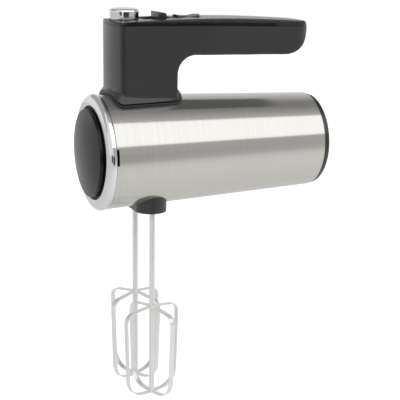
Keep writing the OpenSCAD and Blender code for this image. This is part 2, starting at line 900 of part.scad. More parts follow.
module shaft_bush(x, h) {
  along_x(x) difference() {
    cylinder(h = h, r = 4.98);
    translate([0, 0, -1]) cylinder(h = h + 2, r = motor_shaft_r + run_fit);
  }
}

module shaft_bushes() {
  from_grip() color("darkkhaki") {
    shaft_bush(8, 6);
    shaft_bush(54, 9);
    shaft_bush(142.5, 8);
  }
}

module stator_core() {
  from_grip() color("slategray") along_x(core_x0) difference() {
    intersection() {
      cylinder(h = core_len, r = barrel_r(core_x0 + core_len) - steel_t - 0.8);
      translate([-27, -36, 0]) cube([54, 72, core_len]);
    }
    translate([0, 0, -1]) cylinder(h = core_len + 2, r = core_r + stator_air);
    // coil windows on both sides of each pole
    for (side = [-1, 1]) translate([-15, side * 25 - 5, -1]) cube([30, 10, core_len + 2]);
    for (y = [-bolt_y, bolt_y], z = [-bolt_z, bolt_z]) translate([-z, y, -1])
      cylinder(h = core_len + 2, r = 1.6);
  }
}

// One coil round each pole: two straight sides in the windows and an end turn at each end
module field_coils() {
  end_l = 5.5;
  from_grip() color("peru") for (turned = [0, 180]) rotate([turned, 0, 0]) difference() {
    union() {
      mirror_y() translate([core_x0 - end_l - 0.5, 20.4, 4]) cube([core_len + 2 * end_l + 1, 9.2, 10.6]);
      for (x = [core_x0 - end_l - 0.5, core_x0 + core_len + 0.5]) intersection() {
        translate([x, -40, 4]) cube([end_l, 80, 40]);
        along_x(x) cylinder(h = end_l, r = 31);
      }
    }
    along_x(60) cylinder(h = 90, r = core_r + stator_air + 1.2);
  }
}

module brush_holders() {
  from_grip() color("goldenrod") mirror_y() translate([commutator_x + 2, 0, 0]) difference() {
    translate([0, 12.4, -3.5]) cube([9, 17, 7]);
    translate([0.8, 10, -2.7]) cube([7.4, 18.6, 5.4]);
  }
}

module carbon_brushes() {
  from_grip() color("black") mirror_y() difference() {
    translate([commutator_x + 2.9, 9, -2.6]) cube([7.2, 11, 5.2]);
    along_x(commutator_x - 5) cylinder(h = 30, r = commutator_r + gap);
  }
}

module brush_springs() {
  from_grip() color("silver") mirror_y() translate([commutator_x + 6.5, 20.05, 0])
    rotate([-90, 0, 0]) coil(1.9, 0.3, 5, 8.4);
}

// ---------- electrics in the handle ----------

module control_board() {
  from_grip() color("darkgreen") difference() {
    translate([30, -13, board_z]) cube([66, 26, board_t]);
    for (x = [33, 92], side = [-1, 1]) translate([x, side * 10, 60]) cylinder(h = 40, r = 1.02);
  }
}

module board_screws() {
  from_grip() color("silver") for (x = [33, 92], side = [-1, 1])
    translate([x, side * 10, board_z + board_t]) screw(6, r = 1, head_r = 1.8, head_h = 1.2);
}

switch_z = board_z + board_t;

module speed_switch() {
  from_grip() color("black") difference() {
    translate([thumb_x - 17, -7, switch_z]) cube([24, 14, 8]);
    translate([thumb_x - speed_travel - 4, -4, switch_z + 3]) cube([speed_travel + 8, 8, 10]);
  }
}

module turbo_switch() {
  from_grip() color("black") translate([turbo_x - 6, -4, switch_z]) cube([12, 8, 6]);
}

module suppressor() {
  from_grip() color("gold") translate([84, -7, switch_z]) cube([6, 14, 9]);
}

module heat_sink() {
  from_grip() color("silver") difference() {
    translate([57.5, -10, switch_z]) cube([4.5, 20, 7]);
    for (y = [-8.5:3:8]) translate([59, y, switch_z + 1.5]) cube([5, 1.6, 9]);
  }
}

// Leads from the control board down the post to the motor
module lead(points, r) {
  for (i = [0:len(points) - 1]) {
    translate(points[i]) sphere(r = r + 0.12, $fn = 16);
    if (i > 0) {
      d = points[i] - points[i - 1];
      translate(points[i - 1]) rotate([0, acos(d[2] / norm(d)), atan2(d[1], d[0])])
        cylinder(h = norm(d), r = r, $fn = 16);
    }
  }
}

module wire_loom() {
  from_grip() color("firebrick") for (side = [-1, 1]) lead([
    [45, side * 5, board_z - 1.2],
    [45, side * 5, 30],
    [56, side * 12, 29],
    [70, side * 17, 31.4],
    [commutator_x, side * 17, 28.5],
    [commutator_x + 6, side * 22, 4.8]], 1.1);
}

// ---------- beaters ----------

// Half outline of a cage strip, from the top crossing down to the bottom one
function arc_points(c, r, a0, a1, n) =
  [for (i = [0:n]) [c[0] + r * cos(a0 + (a1 - a0) * i / n), c[1] + r * sin(a0 + (a1 - a0) * i / n)]];

top_bend = 8;
foot_bend = 15;
foot_pull = 1.8;

function cage_half(in) = concat(
  [[0, cage_top - in]],
  arc_points([cage_r - top_bend, cage_top - 2.2 - top_bend], top_bend - in, 80, 0, 8),
  arc_points([cage_r - foot_pull - foot_bend, cage_bottom + foot_bend + 0.6], foot_bend - in, 0, -84, 10),
  [[0, cage_bottom + in]]);

module cage_loop() {
  rotate([90, 0, 0]) translate([0, 0, -strip_w / 2]) linear_extrude(height = strip_w) difference() {
    for (m = [0, 1]) mirror([m, 0]) polygon(cage_half(0));
    for (m = [0, 1]) mirror([m, 0]) polygon(cage_half(strip_t));
  }
}

module beater(phase) {
  // shaft with a chamfered tip
  translate([0, 0, cage_bottom - 0.5]) cylinder(h = beater_top - cage_bottom - 0.7, r = shaft_d / 2);
  translate([0, 0, beater_top - 1.2]) cylinder(h = 1.2, r1 = shaft_d / 2, r2 = shaft_d / 2 - 0.8);
  // ears that lock it in the spindle's slots
  rotate([0, 0, phase]) translate([-4, -0.7, spindle_foot + 0.3]) cube([8, 1.4, 5.2]);
  for (a = [0, 90]) rotate([0, 0, phase + a]) cage_loop();
}

module beater_left() {
  from_grip() color("gainsboro") translate([beater_x, -spread / 2, 0]) beater(phase_left);
}

module beater_right() {
  from_grip() color("gainsboro") translate([beater_x, spread / 2, 0]) beater(phase_right);
}

// ---------- controls ----------

module eject_knob() {
  from_grip() color("gainsboro") translate([knob_x, 0, knob_foot]) difference() {
    union() {
      rotate_extrude() polygon([[0, 0], [knob_r - 1, 0], [knob_r - 0.5, 0.5],
        [knob_r, knob_h - 1.4], [knob_r - 0.4, knob_h - 0.4], [knob_r - 1.4, knob_h], [0, knob_h]]);
      intersection() {
        translate([0, 0, knob_h - 50 + 1.3]) sphere(r = 50, $fn = 180);
        translate([0, 0, knob_h - 2]) cylinder(h = 6, r = knob_r - 1.4);
      }
    }
    translate([0, 0, -1]) cylinder(h = knob_h - 1, r = knob_r - 2.4);
  }
}

module eject_plunger() {
  from_grip() color("dimgray") translate([knob_x, 0, 0]) {
    translate([0, 0, yoke_z + 3]) cylinder(h = knob_foot + knob_h - 2.02 - yoke_z - 3, r = 3.5);
    translate([0, 0, 82.5]) cylinder(h = 2, r = 7);
    translate([0, 0, knob_foot + 2.4]) cylinder(h = 3, r = knob_r - 2.42);
  }
}

module eject_yoke() {
  from_grip() color("dimgray") {
    translate([knob_x - 5, -5, yoke_z]) cube([beater_x - knob_x + 9, 10, 3]);
    translate([beater_x - 4, -spread / 2 - 4, yoke_z]) cube([8, spread + 8, 3]);
    at_beaters() translate([0, 0, beater_top + 0.4]) cylinder(h = yoke_z - beater_top, r = pin_r);
  }
}

module eject_spring() {
  from_grip() color("silver") translate([knob_x, 0, 70.05]) coil(5.2, 0.5, 5, 12.4);
}

module slider_thumb() {
  from_grip() color("dimgray") translate([thumb_x, 0, 0]) {
    rotate([90, 0, 0]) translate([0, 0, -thumb_w / 2]) linear_extrude(height = thumb_w) polygon([
      [-thumb_l / 2, track_floor + 0.4], [thumb_l / 2, track_floor + 0.4],
      [thumb_l / 2, 102.8], [1.4, 103.8], [-2.6, 104.4], [-thumb_l / 2, 104]]);
    translate([-2.2, -1.5, 90]) cube([4.4, 3, 8]);
  }
}

module slider_carriage() {
  from_grip() color("ivory") translate([thumb_x, 0, 0])
    translate([-3.4, -3.5, switch_z + 3.5]) cube([6.8, 7, 90 - switch_z - 3.5]);
}

module turbo_button() {
  from_grip() color("dimgray") translate([turbo_x, 0, 0]) {
    difference() {
      oval_plate(turbo_l, turbo_w, 94.5, 100.4);
      translate([0, 0, 139.4]) sphere(r = 40, $fn = 180);
    }
    // rim that stays under the cover
    oval_plate(turbo_l + 2, turbo_w + 2.4, 96.4, 97.9);
    translate([0, 0, 88]) cylinder(h = 7, r = 1.3);
  }
}

module turbo_spring() {
  from_grip() color("silver") translate([turbo_x, 0, switch_z + 6.05])
    coil(3, 0.35, 5, 94.4 - switch_z - 6.05);
}

// ---------- drawing ----------

barrel_sleeve();
nose_ring();
nose_seal();
nose_cap();
heel_cap();
heel_screws();
cord_gland();
cord_clamp();
cord_clamp_screws();
post_gasket();
handle_shell();
handle_cover();
cover_screws();
handle_screws();
slider_track();
socket_housing();
socket_screws();
gearbox_base();
gearbox_lid();
gearbox_screws();
spindle_bushes_lower();
spindle_bushes_upper();
motor_front_bracket();
motor_rear_bracket();
motor_bolts();
shaft_bushes();
stator_core();
field_coils();
brush_holders();
brush_springs();
carbon_brushes();
control_board();
board_screws();
speed_switch();
turbo_switch();
suppressor();
heat_sink();
wire_loom();
motor_shaft();
worm();
armature_core();
armature_windings();
commutator();
cooling_fan();
spindle_left();
gear_left();
spindle_right();
gear_right();
beater_left();
beater_right();
eject_knob();
eject_plunger();
eject_yoke();
eject_spring();
slider_thumb();
slider_carriage();
turbo_button();
turbo_spring();
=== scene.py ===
import bpy
import bmesh
import json
import math
from mathutils import Matrix, Vector


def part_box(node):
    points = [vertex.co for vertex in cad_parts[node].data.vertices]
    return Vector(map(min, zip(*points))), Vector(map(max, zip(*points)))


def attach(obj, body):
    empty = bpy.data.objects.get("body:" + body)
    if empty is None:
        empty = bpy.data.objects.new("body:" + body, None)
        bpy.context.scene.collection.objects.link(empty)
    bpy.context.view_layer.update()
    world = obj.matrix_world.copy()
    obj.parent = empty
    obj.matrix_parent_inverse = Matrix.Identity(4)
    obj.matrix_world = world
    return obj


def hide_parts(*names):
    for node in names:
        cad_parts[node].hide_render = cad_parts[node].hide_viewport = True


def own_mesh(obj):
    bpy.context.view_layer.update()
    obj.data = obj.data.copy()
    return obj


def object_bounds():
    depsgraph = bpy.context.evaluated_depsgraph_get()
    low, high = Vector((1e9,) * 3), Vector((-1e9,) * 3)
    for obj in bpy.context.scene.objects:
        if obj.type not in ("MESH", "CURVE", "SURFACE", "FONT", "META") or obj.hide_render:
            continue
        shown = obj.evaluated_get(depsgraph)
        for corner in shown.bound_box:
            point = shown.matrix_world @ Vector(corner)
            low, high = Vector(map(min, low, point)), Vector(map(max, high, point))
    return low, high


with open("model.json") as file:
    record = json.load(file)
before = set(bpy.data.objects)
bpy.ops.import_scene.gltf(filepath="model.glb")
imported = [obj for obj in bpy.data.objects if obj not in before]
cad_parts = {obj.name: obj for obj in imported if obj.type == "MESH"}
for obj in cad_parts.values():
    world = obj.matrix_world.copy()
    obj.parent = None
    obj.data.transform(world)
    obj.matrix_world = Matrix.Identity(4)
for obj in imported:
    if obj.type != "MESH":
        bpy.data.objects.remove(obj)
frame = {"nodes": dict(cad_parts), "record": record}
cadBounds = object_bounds()
bpy.context.view_layer.update()
print("frame loaded:", len(frame["nodes"]), "nodes")

mm = 0.001

# small helpers


def dropSelection():
    if bpy.context.object and bpy.context.object.mode != "OBJECT":
        bpy.ops.object.mode_set(mode="OBJECT")
    bpy.ops.object.select_all(action="DESELECT")


def focusOn(obj):
    dropSelection()
    obj.select_set(True)
    bpy.context.view_layer.objects.active = obj


# camera

cameraLook = {
    "place": (-0.3458, -0.7430, 0.0787),
    "turn": 23.61,       # degrees to the right of straight ahead
    "dip": 14.34,        # looking down
    "roll": 0.87,
    "lens": 94.5,
}
cameraData = bpy.data.cameras.new("studioCamera")
cameraData.lens = cameraLook["lens"]
cameraData.sensor_width = 36
cameraData.clip_start = 0.01
studioCamera = bpy.data.objects.new("studioCamera", cameraData)
bpy.context.scene.collection.objects.link(studioCamera)
studioCamera.matrix_world = (
    Matrix.Translation(cameraLook["place"])
    @ Matrix.Rotation(math.radians(-cameraLook["turn"]), 4, "Z")
    @ Matrix.Rotation(math.radians(90 - cameraLook["dip"]), 4, "X")
    @ Matrix.Rotation(math.radians(cameraLook["roll"]), 4, "Z"))
bpy.context.scene.camera = studioCamera
print("camera set")

# studio: floor, world and lamps

studioLook = {
    "floorDrop": 0.10,          # the mixer is held above the floor
    "floorFront": -1.15,        # where the floor ends in front of the mixer
    "floorColour": (0.86, 0.86, 0.85, 1),
    "floorLift": 0.55,
    "even": 0.72,               # the plain level that all the diffuse light has
    "softboxTone": 1.12,
    "softboxFrom": 19,          # degrees above the horizon, seen from the barrel
    "softboxTo": 67,
    "softboxAway": 0.70,
    "softboxWidth": 1.7,
    "softboxShift": 0.34,
    "leftCard": 0.82,           # pale card on the left
    "leftEdge": -0.30,
    "leftSoft": 0.02,
    # dark flags low beside the camera, by how far to the right they stand
    "flags": ((-0.87, -0.60), (-0.46, 0.34)),
    "flagTone": 0.05,
    "flagLow": -0.46,
    "flagHigh": 0.02,
    "flagSoft": 0.04,
    "frontSoft": 0.05,
    "bandSoft": 0.03,           # how softly a flag or the back card begins
    "backCard": 0.40,           # grey card above and behind
    "backLow": 0.20,
    "backRight": 0.14,
    "backFrom": 0.1,
    "backFull": 0.2,
    # what a mirror sees, by the angle over the front: 0 in front, 90 above, 180 behind
    "ramp": ((-180, 0.80), (-120, 0.80), (-30, 0.60), (-18, 0.56), (0, 0.46), (60, 0.44), (72, 0.52),
             (84, 0.34), (98, 0.18), (116, 0.20), (128, 0.42), (150, 0.70), (168, 0.80), (180, 0.80)),
}

bpy.context.scene.view_settings.view_transform = "Standard"
quarter = math.pi / 2


def feed(tree, socket, value):
    # a socket takes a plain value or another node's output
    if isinstance(value, bpy.types.NodeSocket):
        tree.links.new(value, socket)
    elif value is not None:
        socket.default_value = value


def addNode(tree, kind, at=(0, 0), **values):
    node = tree.nodes.new(kind)
    node.location = at
    for key, value in values.items():
        if key in node.inputs:
            feed(tree, node.inputs[key], value)
        else:
            setattr(node, key, value)
    return node


def mathNode(tree, how, first, second=None, at=(0, 0), clamp=False):
    node = addNode(tree, "ShaderNodeMath", at, operation=how, use_clamp=clamp)
    feed(tree, node.inputs[0], first)
    feed(tree, node.inputs[1], second)
    return node.outputs[0]


def rangeNode(tree, value, low, high, smooth=True, at=(0, 0)):
    # 0 at low and 1 at high
    node = addNode(tree, "ShaderNodeMapRange", at, interpolation_type="SMOOTHSTEP" if smooth else "LINEAR",
                   **{"Value": value, "From Min": low, "From Max": high})
    return node.outputs["Result"]


def blendValues(tree, share, first, second):
    node = addNode(tree, "ShaderNodeMix", data_type="FLOAT")
    for index, value in ((0, share), (2, first), (3, second)):
        feed(tree, node.inputs[index], value)
    return node.outputs[0]


def mixColour(tree, share, first, second, at=(0, 0)):
    node = addNode(tree, "ShaderNodeMix", at, data_type="RGBA")
    for index, value in ((0, share), (6, first), (7, second)):
        feed(tree, node.inputs[index], (*value, 1) if isinstance(value, tuple) else value)
    return node.outputs[2]


def startFinish(name, constants):
    finish = bpy.data.materials.new(name)
    finish.use_nodes = True
    tree = finish.node_tree
    shader = tree.nodes["Principled BSDF"]
    shader.location = (600, 0)
    for key, value in constants.items():
        shader.inputs[key].default_value = value
    return finish, tree, shader


world = bpy.data.worlds.new("studioRoom")
bpy.context.scene.world = world
world.use_nodes = True
world.cycles.sampling_method = "NONE"
room = world.node_tree
room.nodes.clear()
roomOut = addNode(room, "ShaderNodeOutputWorld", (1400, 0))
roomView = addNode(room, "ShaderNodeTexCoord", (-1100, 0))
roomSplit = addNode(room, "ShaderNodeSeparateXYZ", (-900, 0), Vector=roomView.outputs["Generated"])
goX, goY, goZ = roomSplit.outputs
towards = mathNode(room, "MULTIPLY", goY, -1.0, (-700, -100))
around = mathNode(room, "ARCTAN2", goZ, towards, (-500, 0))
turnShare = rangeNode(room, around, -math.pi, math.pi, smooth=False, at=(-300, 0))
toneRamp = addNode(room, "ShaderNodeValToRGB", (-100, 0))
toneStops = toneRamp.color_ramp.elements
for index, (angle, tone) in enumerate(studioLook["ramp"]):
    share = (angle + 180) / 360
    if index in (0, len(studioLook["ramp"]) - 1):
        stop = toneStops[0 if index == 0 else -1]
        stop.position = share
    else:
        stop = toneStops.new(share)
    stop.color = (tone, tone, tone, 1)
room.links.new(turnShare, toneRamp.inputs[0])


def softBand(at, *limits):
    # 1 within all the limits; each is a part of the direction, where it begins and where it is full
    for row, (part, begin, full) in enumerate(limits):
        limit = rangeNode(room, part, begin, full, at=(at[0], at[1] - 200 * row))
        mask = limit if row == 0 else mathNode(room, "MULTIPLY", mask, limit, (at[0] + 200 * row, at[1]))
    return mask


leftEdge, leftSoft = studioLook["leftEdge"], studioLook["leftSoft"]
isLeft = softBand((-100, -300), (goX, leftEdge + leftSoft, leftEdge - leftSoft))
mirrorTone = blendValues(room, isLeft, toneRamp.outputs[0], studioLook["leftCard"])
flagLow, flagHigh = studioLook["flagLow"], studioLook["flagHigh"]
flagSoft, bandSoft = studioLook["flagSoft"], studioLook["bandSoft"]
flagBand = softBand((-100, -600), (goZ, flagLow, flagLow + bandSoft),
                    (goZ, flagHigh + bandSoft, flagHigh), (goY, 0, -studioLook["frontSoft"]))
for flagFrom, flagTo in studioLook["flags"]:
    inFlag = softBand((100, -1100), (goX, flagFrom, flagFrom + flagSoft), (goX, flagTo, flagTo - flagSoft))
    inFlag = mathNode(room, "MULTIPLY", inFlag, flagBand, (450, -1000))
    mirrorTone = blendValues(room, inFlag, mirrorTone, studioLook["flagTone"])
backLow, backRight = studioLook["backLow"], studioLook["backRight"]
isBack = softBand((450, -1300), (goZ, backLow, backLow + bandSoft), (goX, backRight, backRight - bandSoft),
                  (goY, studioLook["backFrom"], studioLook["backFull"]))
mirrorTone = blendValues(room, isBack, mirrorTone, studioLook["backCard"])
rayKind = addNode(room, "ShaderNodeLightPath", (500, 400))
seenTone = blendValues(room, rayKind.outputs["Is Diffuse Ray"], mirrorTone, studioLook["even"])
skyTone = blendValues(room, rayKind.outputs["Is Camera Ray"], seenTone, 1.0)
roomLight = addNode(room, "ShaderNodeBackground", (1150, 0), Color=skyTone)
room.links.new(roomLight.outputs[0], roomOut.inputs["Surface"])

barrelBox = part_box("barrel_sleeve")
barrelAxis = (barrelBox[0].z + barrelBox[1].z) / 2
boxMiddle = math.radians((studioLook["softboxFrom"] + studioLook["softboxTo"]) / 2)
boxHalf = math.radians((studioLook["softboxTo"] - studioLook["softboxFrom"]) / 2)
softboxData = bpy.data.lights.new("softbox", "AREA")
softboxData.shape = "RECTANGLE"
softboxData.size = studioLook["softboxWidth"]
softboxData.size_y = 2 * studioLook["softboxAway"] * math.tan(boxHalf)
softboxData.energy = studioLook["softboxTone"] * math.pi * softboxData.size * softboxData.size_y
softbox = bpy.data.objects.new("softbox", softboxData)
bpy.context.scene.collection.objects.link(softbox)
softbox.matrix_world = (
    Matrix.Translation((studioLook["softboxShift"],
                        -studioLook["softboxAway"] * math.cos(boxMiddle),
                        barrelAxis + studioLook["softboxAway"] * math.sin(boxMiddle)))
    @ Matrix.Rotation(math.pi / 2 - boxMiddle, 4, "X"))

floorSize = {"reach": 4.0, "side": 4.5}
floorHeight = cadBounds[0][2] - studioLook["floorDrop"]
dropSelection()
bpy.ops.mesh.primitive_plane_add(size=1, location=(0, 0, 0))
floor = bpy.context.object
floor.name = "floor"
floor.scale = (2 * floorSize["side"], floorSize["reach"] - studioLook["floorFront"], 1)
floor.location = (0, (floorSize["reach"] + studioLook["floorFront"]) / 2, floorHeight)
bpy.ops.object.transform_apply(location=True, rotation=True, scale=True)
floorFinish, floorTree, floorShader = startFinish("paleFloor", {
    "Base Color": studioLook["floorColour"], "Roughness": 0.9, "Specular IOR Level": 0.1})
floorGlow = addNode(floorTree, "ShaderNodeEmission", (0, -300), Strength=studioLook["floorLift"])
floorSum = addNode(floorTree, "ShaderNodeAddShader", (200, -200))
floorMix = addNode(floorTree, "ShaderNodeMixShader", (400, 0))
floorRay = addNode(floorTree, "ShaderNodeLightPath", (0, 300))
for source, target in (
        (floorShader.outputs[0], floorSum.inputs[0]), (floorGlow.outputs[0], floorSum.inputs[1]),
        (floorRay.outputs["Is Camera Ray"], floorMix.inputs[0]), (floorShader.outputs[0], floorMix.inputs[1]),
        (floorSum.outputs[0], floorMix.inputs[2]),
        (floorMix.outputs[0], floorTree.nodes["Material Output"].inputs["Surface"])):
    floorTree.links.new(source, target)
floor.data.materials.append(floorFinish)
print("studio ready")

# shared shader groups


def newGroup(name, takes, gives):
    # takes: each input's value, None for a vector; gives: the outputs, all plain values
    group = bpy.data.node_groups.new(name, "ShaderNodeTree")
    for label, value in takes.items():
        kind = "NodeSocketVector" if value is None else "NodeSocketFloat"
        feed(group, group.interface.new_socket(label, in_out="INPUT", socket_type=kind), value)
    for label in gives:
        group.interface.new_socket(label, in_out="OUTPUT", socket_type="NodeSocketFloat")
    return group, addNode(group, "NodeGroupInput", (-900, 0)), addNode(group, "NodeGroupOutput", (900, 0))


def makeEdgeWear():
    group, inside, outside = newGroup("edgeWear", {"Radius": 0.0008, "Amount": 0.5, "Patch Size": 60.0},
                                      ["Mask"])
    place = addNode(group, "ShaderNodeTexCoord", (-700, 200))
    rounded = addNode(group, "ShaderNodeBevel", (-700, -100), samples=4, Radius=inside.outputs["Radius"])
    surface = addNode(group, "ShaderNodeNewGeometry", (-700, -300))
    agree = addNode(group, "ShaderNodeVectorMath", (-500, -200), operation="DOT_PRODUCT")
    group.links.new(rounded.outputs[0], agree.inputs[0])
    group.links.new(surface.outputs["Normal"], agree.inputs[1])
    edge = rangeNode(group, agree.outputs["Value"], 0.995, 0.86, at=(-300, -200))
    patch = addNode(group, "ShaderNodeTexNoise", (-500, 200), Detail=5,
                    Vector=place.outputs["Object"], Scale=inside.outputs["Patch Size"])
    broken = rangeNode(group, patch.outputs[0], 0.35, 0.65, at=(-300, 200))
    worn = mathNode(group, "MULTIPLY", edge, broken, (0, 0))
    mask = mathNode(group, "MULTIPLY", worn, inside.outputs["Amount"], (200, 0), True)
    group.links.new(mask, outside.inputs["Mask"])
    return group


def makeFineGrain():
    group, inside, outside = newGroup("fineGrain", {"Grain Scale": 2600.0, "Cloud Scale": 22.0},
                                      ["Height", "Cloud"])
    place = addNode(group, "ShaderNodeTexCoord", (-700, 0))
    grain = addNode(group, "ShaderNodeTexNoise", (-400, 200), Detail=3)
    cell = addNode(group, "ShaderNodeTexVoronoi", (-400, -50))
    cloud = addNode(group, "ShaderNodeTexNoise", (-400, -300), Detail=4)
    for texture, scale in ((grain, "Grain Scale"), (cell, "Grain Scale"), (cloud, "Cloud Scale")):
        group.links.new(place.outputs["Object"], texture.inputs["Vector"])
        group.links.new(inside.outputs[scale], texture.inputs["Scale"])
    height = mathNode(group, "ADD", grain.outputs[0], cell.outputs["Distance"], (0, 100))
    group.links.new(height, outside.inputs["Height"])
    group.links.new(rangeNode(group, cloud.outputs[0], 0.3, 0.7, at=(0, -200)), outside.inputs["Cloud"])
    return group


def makeBrushLines():
    # scratches that run across the first axis of the vector that goes in
    group, inside, outside = newGroup("brushLines", {"Vector": None, "Fineness": 1.0}, ["Height", "Tone"])
    sized = addNode(group, "ShaderNodeVectorMath", (-700, 0), operation="SCALE",
                    Vector=inside.outputs["Vector"], Scale=inside.outputs["Fineness"])
    tones = []
    for up, stretch, detail in ((200, (5200, 26, 26), 3), (-200, (900, 9, 9), 2)):
        mapping = addNode(group, "ShaderNodeMapping", (-500, up), Scale=stretch, Vector=sized.outputs[0])
        lines = addNode(group, "ShaderNodeTexNoise", (-200, up), Scale=1, Detail=detail,
                        Vector=mapping.outputs[0])
        tones.append(lines.outputs[0])
    both = mathNode(group, "ADD", tones[0], tones[1], (100, 0))
    group.links.new(both, outside.inputs["Height"])
    group.links.new(rangeNode(group, both, 0.6, 1.4, at=(300, -100)), outside.inputs["Tone"])
    return group


def makeHandMarks():
    group, inside, outside = newGroup("handMarks", {"Size": 18.0, "Amount": 0.5}, ["Mask"])
    place = addNode(group, "ShaderNodeTexCoord", (-700, 0))
    smear = addNode(group, "ShaderNodeTexNoise", (-400, 100), Detail=6, Distortion=0.8,
                    Vector=place.outputs["Object"], Scale=inside.outputs["Size"])
    soft = rangeNode(group, smear.outputs[0], 0.48, 0.74, at=(-100, 100))
    group.links.new(mathNode(group, "MULTIPLY", soft, inside.outputs["Amount"], (200, 0)),
                    outside.inputs["Mask"])
    return group


sharedGroups = {
    "edgeWear": makeEdgeWear(),
    "fineGrain": makeFineGrain(),
    "brushLines": makeBrushLines(),
    "handMarks": makeHandMarks(),
}


def placeGroup(tree, name, at=(0, 0), **values):
    return addNode(tree, "ShaderNodeGroup", at, node_tree=sharedGroups[name], **values)


def turnedPlace(tree, look):
    # the piece's own coordinates, turned so that the pattern runs the right way
    place = addNode(tree, "ShaderNodeTexCoord", (-1000, 0))
    turn = addNode(tree, "ShaderNodeMapping", (-820, 0), Rotation=look.get("turn", (0, 0, 0)),
                   Vector=place.outputs["Object"])
    return turn.outputs[0]


def addWornTone(tree, shader, share, wear, look):
    tone = mixColour(tree, share, look["colour"], look["colour2"], (-250, 0))
    worn = mixColour(tree, wear.outputs["Mask"], tone, look["wornColour"], (0, 0))
    tree.links.new(worn, shader.inputs["Base Color"])


def addRoughness(tree, shader, base, *parts):
    # the base, raised or lowered by each mask's amount
    rough = base
    for row, (mask, amount) in enumerate(parts):
        share = mathNode(tree, "MULTIPLY", mask, amount, (-250, -250 - 150 * row))
        rough = mathNode(tree, "ADD", share, rough, (150 * row - 100, -250), row == len(parts) - 1)
    tree.links.new(rough, shader.inputs["Roughness"])


def addBump(tree, shader, height, strength, distance):
    bump = addNode(tree, "ShaderNodeBump", (350, -350), Strength=strength, Distance=distance, Height=height)
    tree.links.new(bump.outputs[0], shader.inputs["Normal"])


def mouldedPlastic(name, look):
    finish, tree, shader = startFinish(name, {
        "IOR": look.get("ior", 1.5), "Coat Weight": look.get("coat", 0.0),
        "Coat Roughness": look.get("coatRough", 0.2)})
    grain = placeGroup(tree, "fineGrain", (-600, 0), **{"Grain Scale": look.get("grain", 2600)})
    wear = placeGroup(tree, "edgeWear", (-600, -250), Radius=0.0006, Amount=look.get("wear", 0.5))
    marks = placeGroup(tree, "handMarks", (-600, -500), Amount=0.5)
    addWornTone(tree, shader, grain.outputs["Cloud"], wear, look)
    addRoughness(tree, shader, look["rough"], (grain.outputs["Cloud"], 0.06), (marks.outputs["Mask"], -0.08))
    addBump(tree, shader, grain.outputs["Height"], look.get("bump", 0.10), 0.00012)
    return finish


def workedMetal(name, look):
    finish, tree, shader = startFinish(name, {
        "Metallic": look.get("metallic", 1.0), "Anisotropic": look.get("anisotropic", 0.0),
        "Anisotropic Rotation": look.get("blurTurn", 0.0)})
    lines = placeGroup(tree, "brushLines", (-600, 0), Vector=turnedPlace(tree, look),
                       Fineness=look.get("fineness", 1.0))
    grain = placeGroup(tree, "fineGrain", (-600, -250), **{"Cloud Scale": 30})
    wear = placeGroup(tree, "edgeWear", (-600, -500), Radius=0.0005, Amount=look.get("wear", 0.4))
    marks = placeGroup(tree, "handMarks", (-600, -750), Size=14.0, Amount=0.5)
    addWornTone(tree, shader, lines.outputs["Tone"], wear, look)
    addRoughness(tree, shader, look["rough"], (lines.outputs["Tone"], look.get("roughRange", 0.05)),
                 (marks.outputs["Mask"], look.get("markRough", 0.05)),
                 (grain.outputs["Cloud"], look.get("cloudRough", 0.02)))
    if "bump" in look:
        addBump(tree, shader, lines.outputs["Height"], look["bump"], 0.00005)
    if "round" in look:
        tangent = addNode(tree, "ShaderNodeTangent", (350, -550),
                          direction_type="RADIAL", axis=look["round"])
        tree.links.new(tangent.outputs[0], shader.inputs["Tangent"])
    return finish


def windingFinish(name, look):
    # strands of enamelled wire, or sheets pressed in a stack, as close bands
    finish, tree, shader = startFinish(name, {"Metallic": look["metallic"]})
    band = addNode(tree, "ShaderNodeTexWave", (-600, 0), bands_direction="X", Scale=look["bands"],
                   Distortion=look.get("wander", 0.6), Vector=turnedPlace(tree, look))
    grain = placeGroup(tree, "fineGrain", (-600, -300))
    tone = mixColour(tree, band.outputs["Fac"], look["colour"], look["colour2"], (-250, 0))
    tree.links.new(tone, shader.inputs["Base Color"])
    addRoughness(tree, shader, look["rough"], (grain.outputs["Cloud"], 0.12))
    addBump(tree, shader, band.outputs["Fac"], 0.4, 0.0002)
    return finish


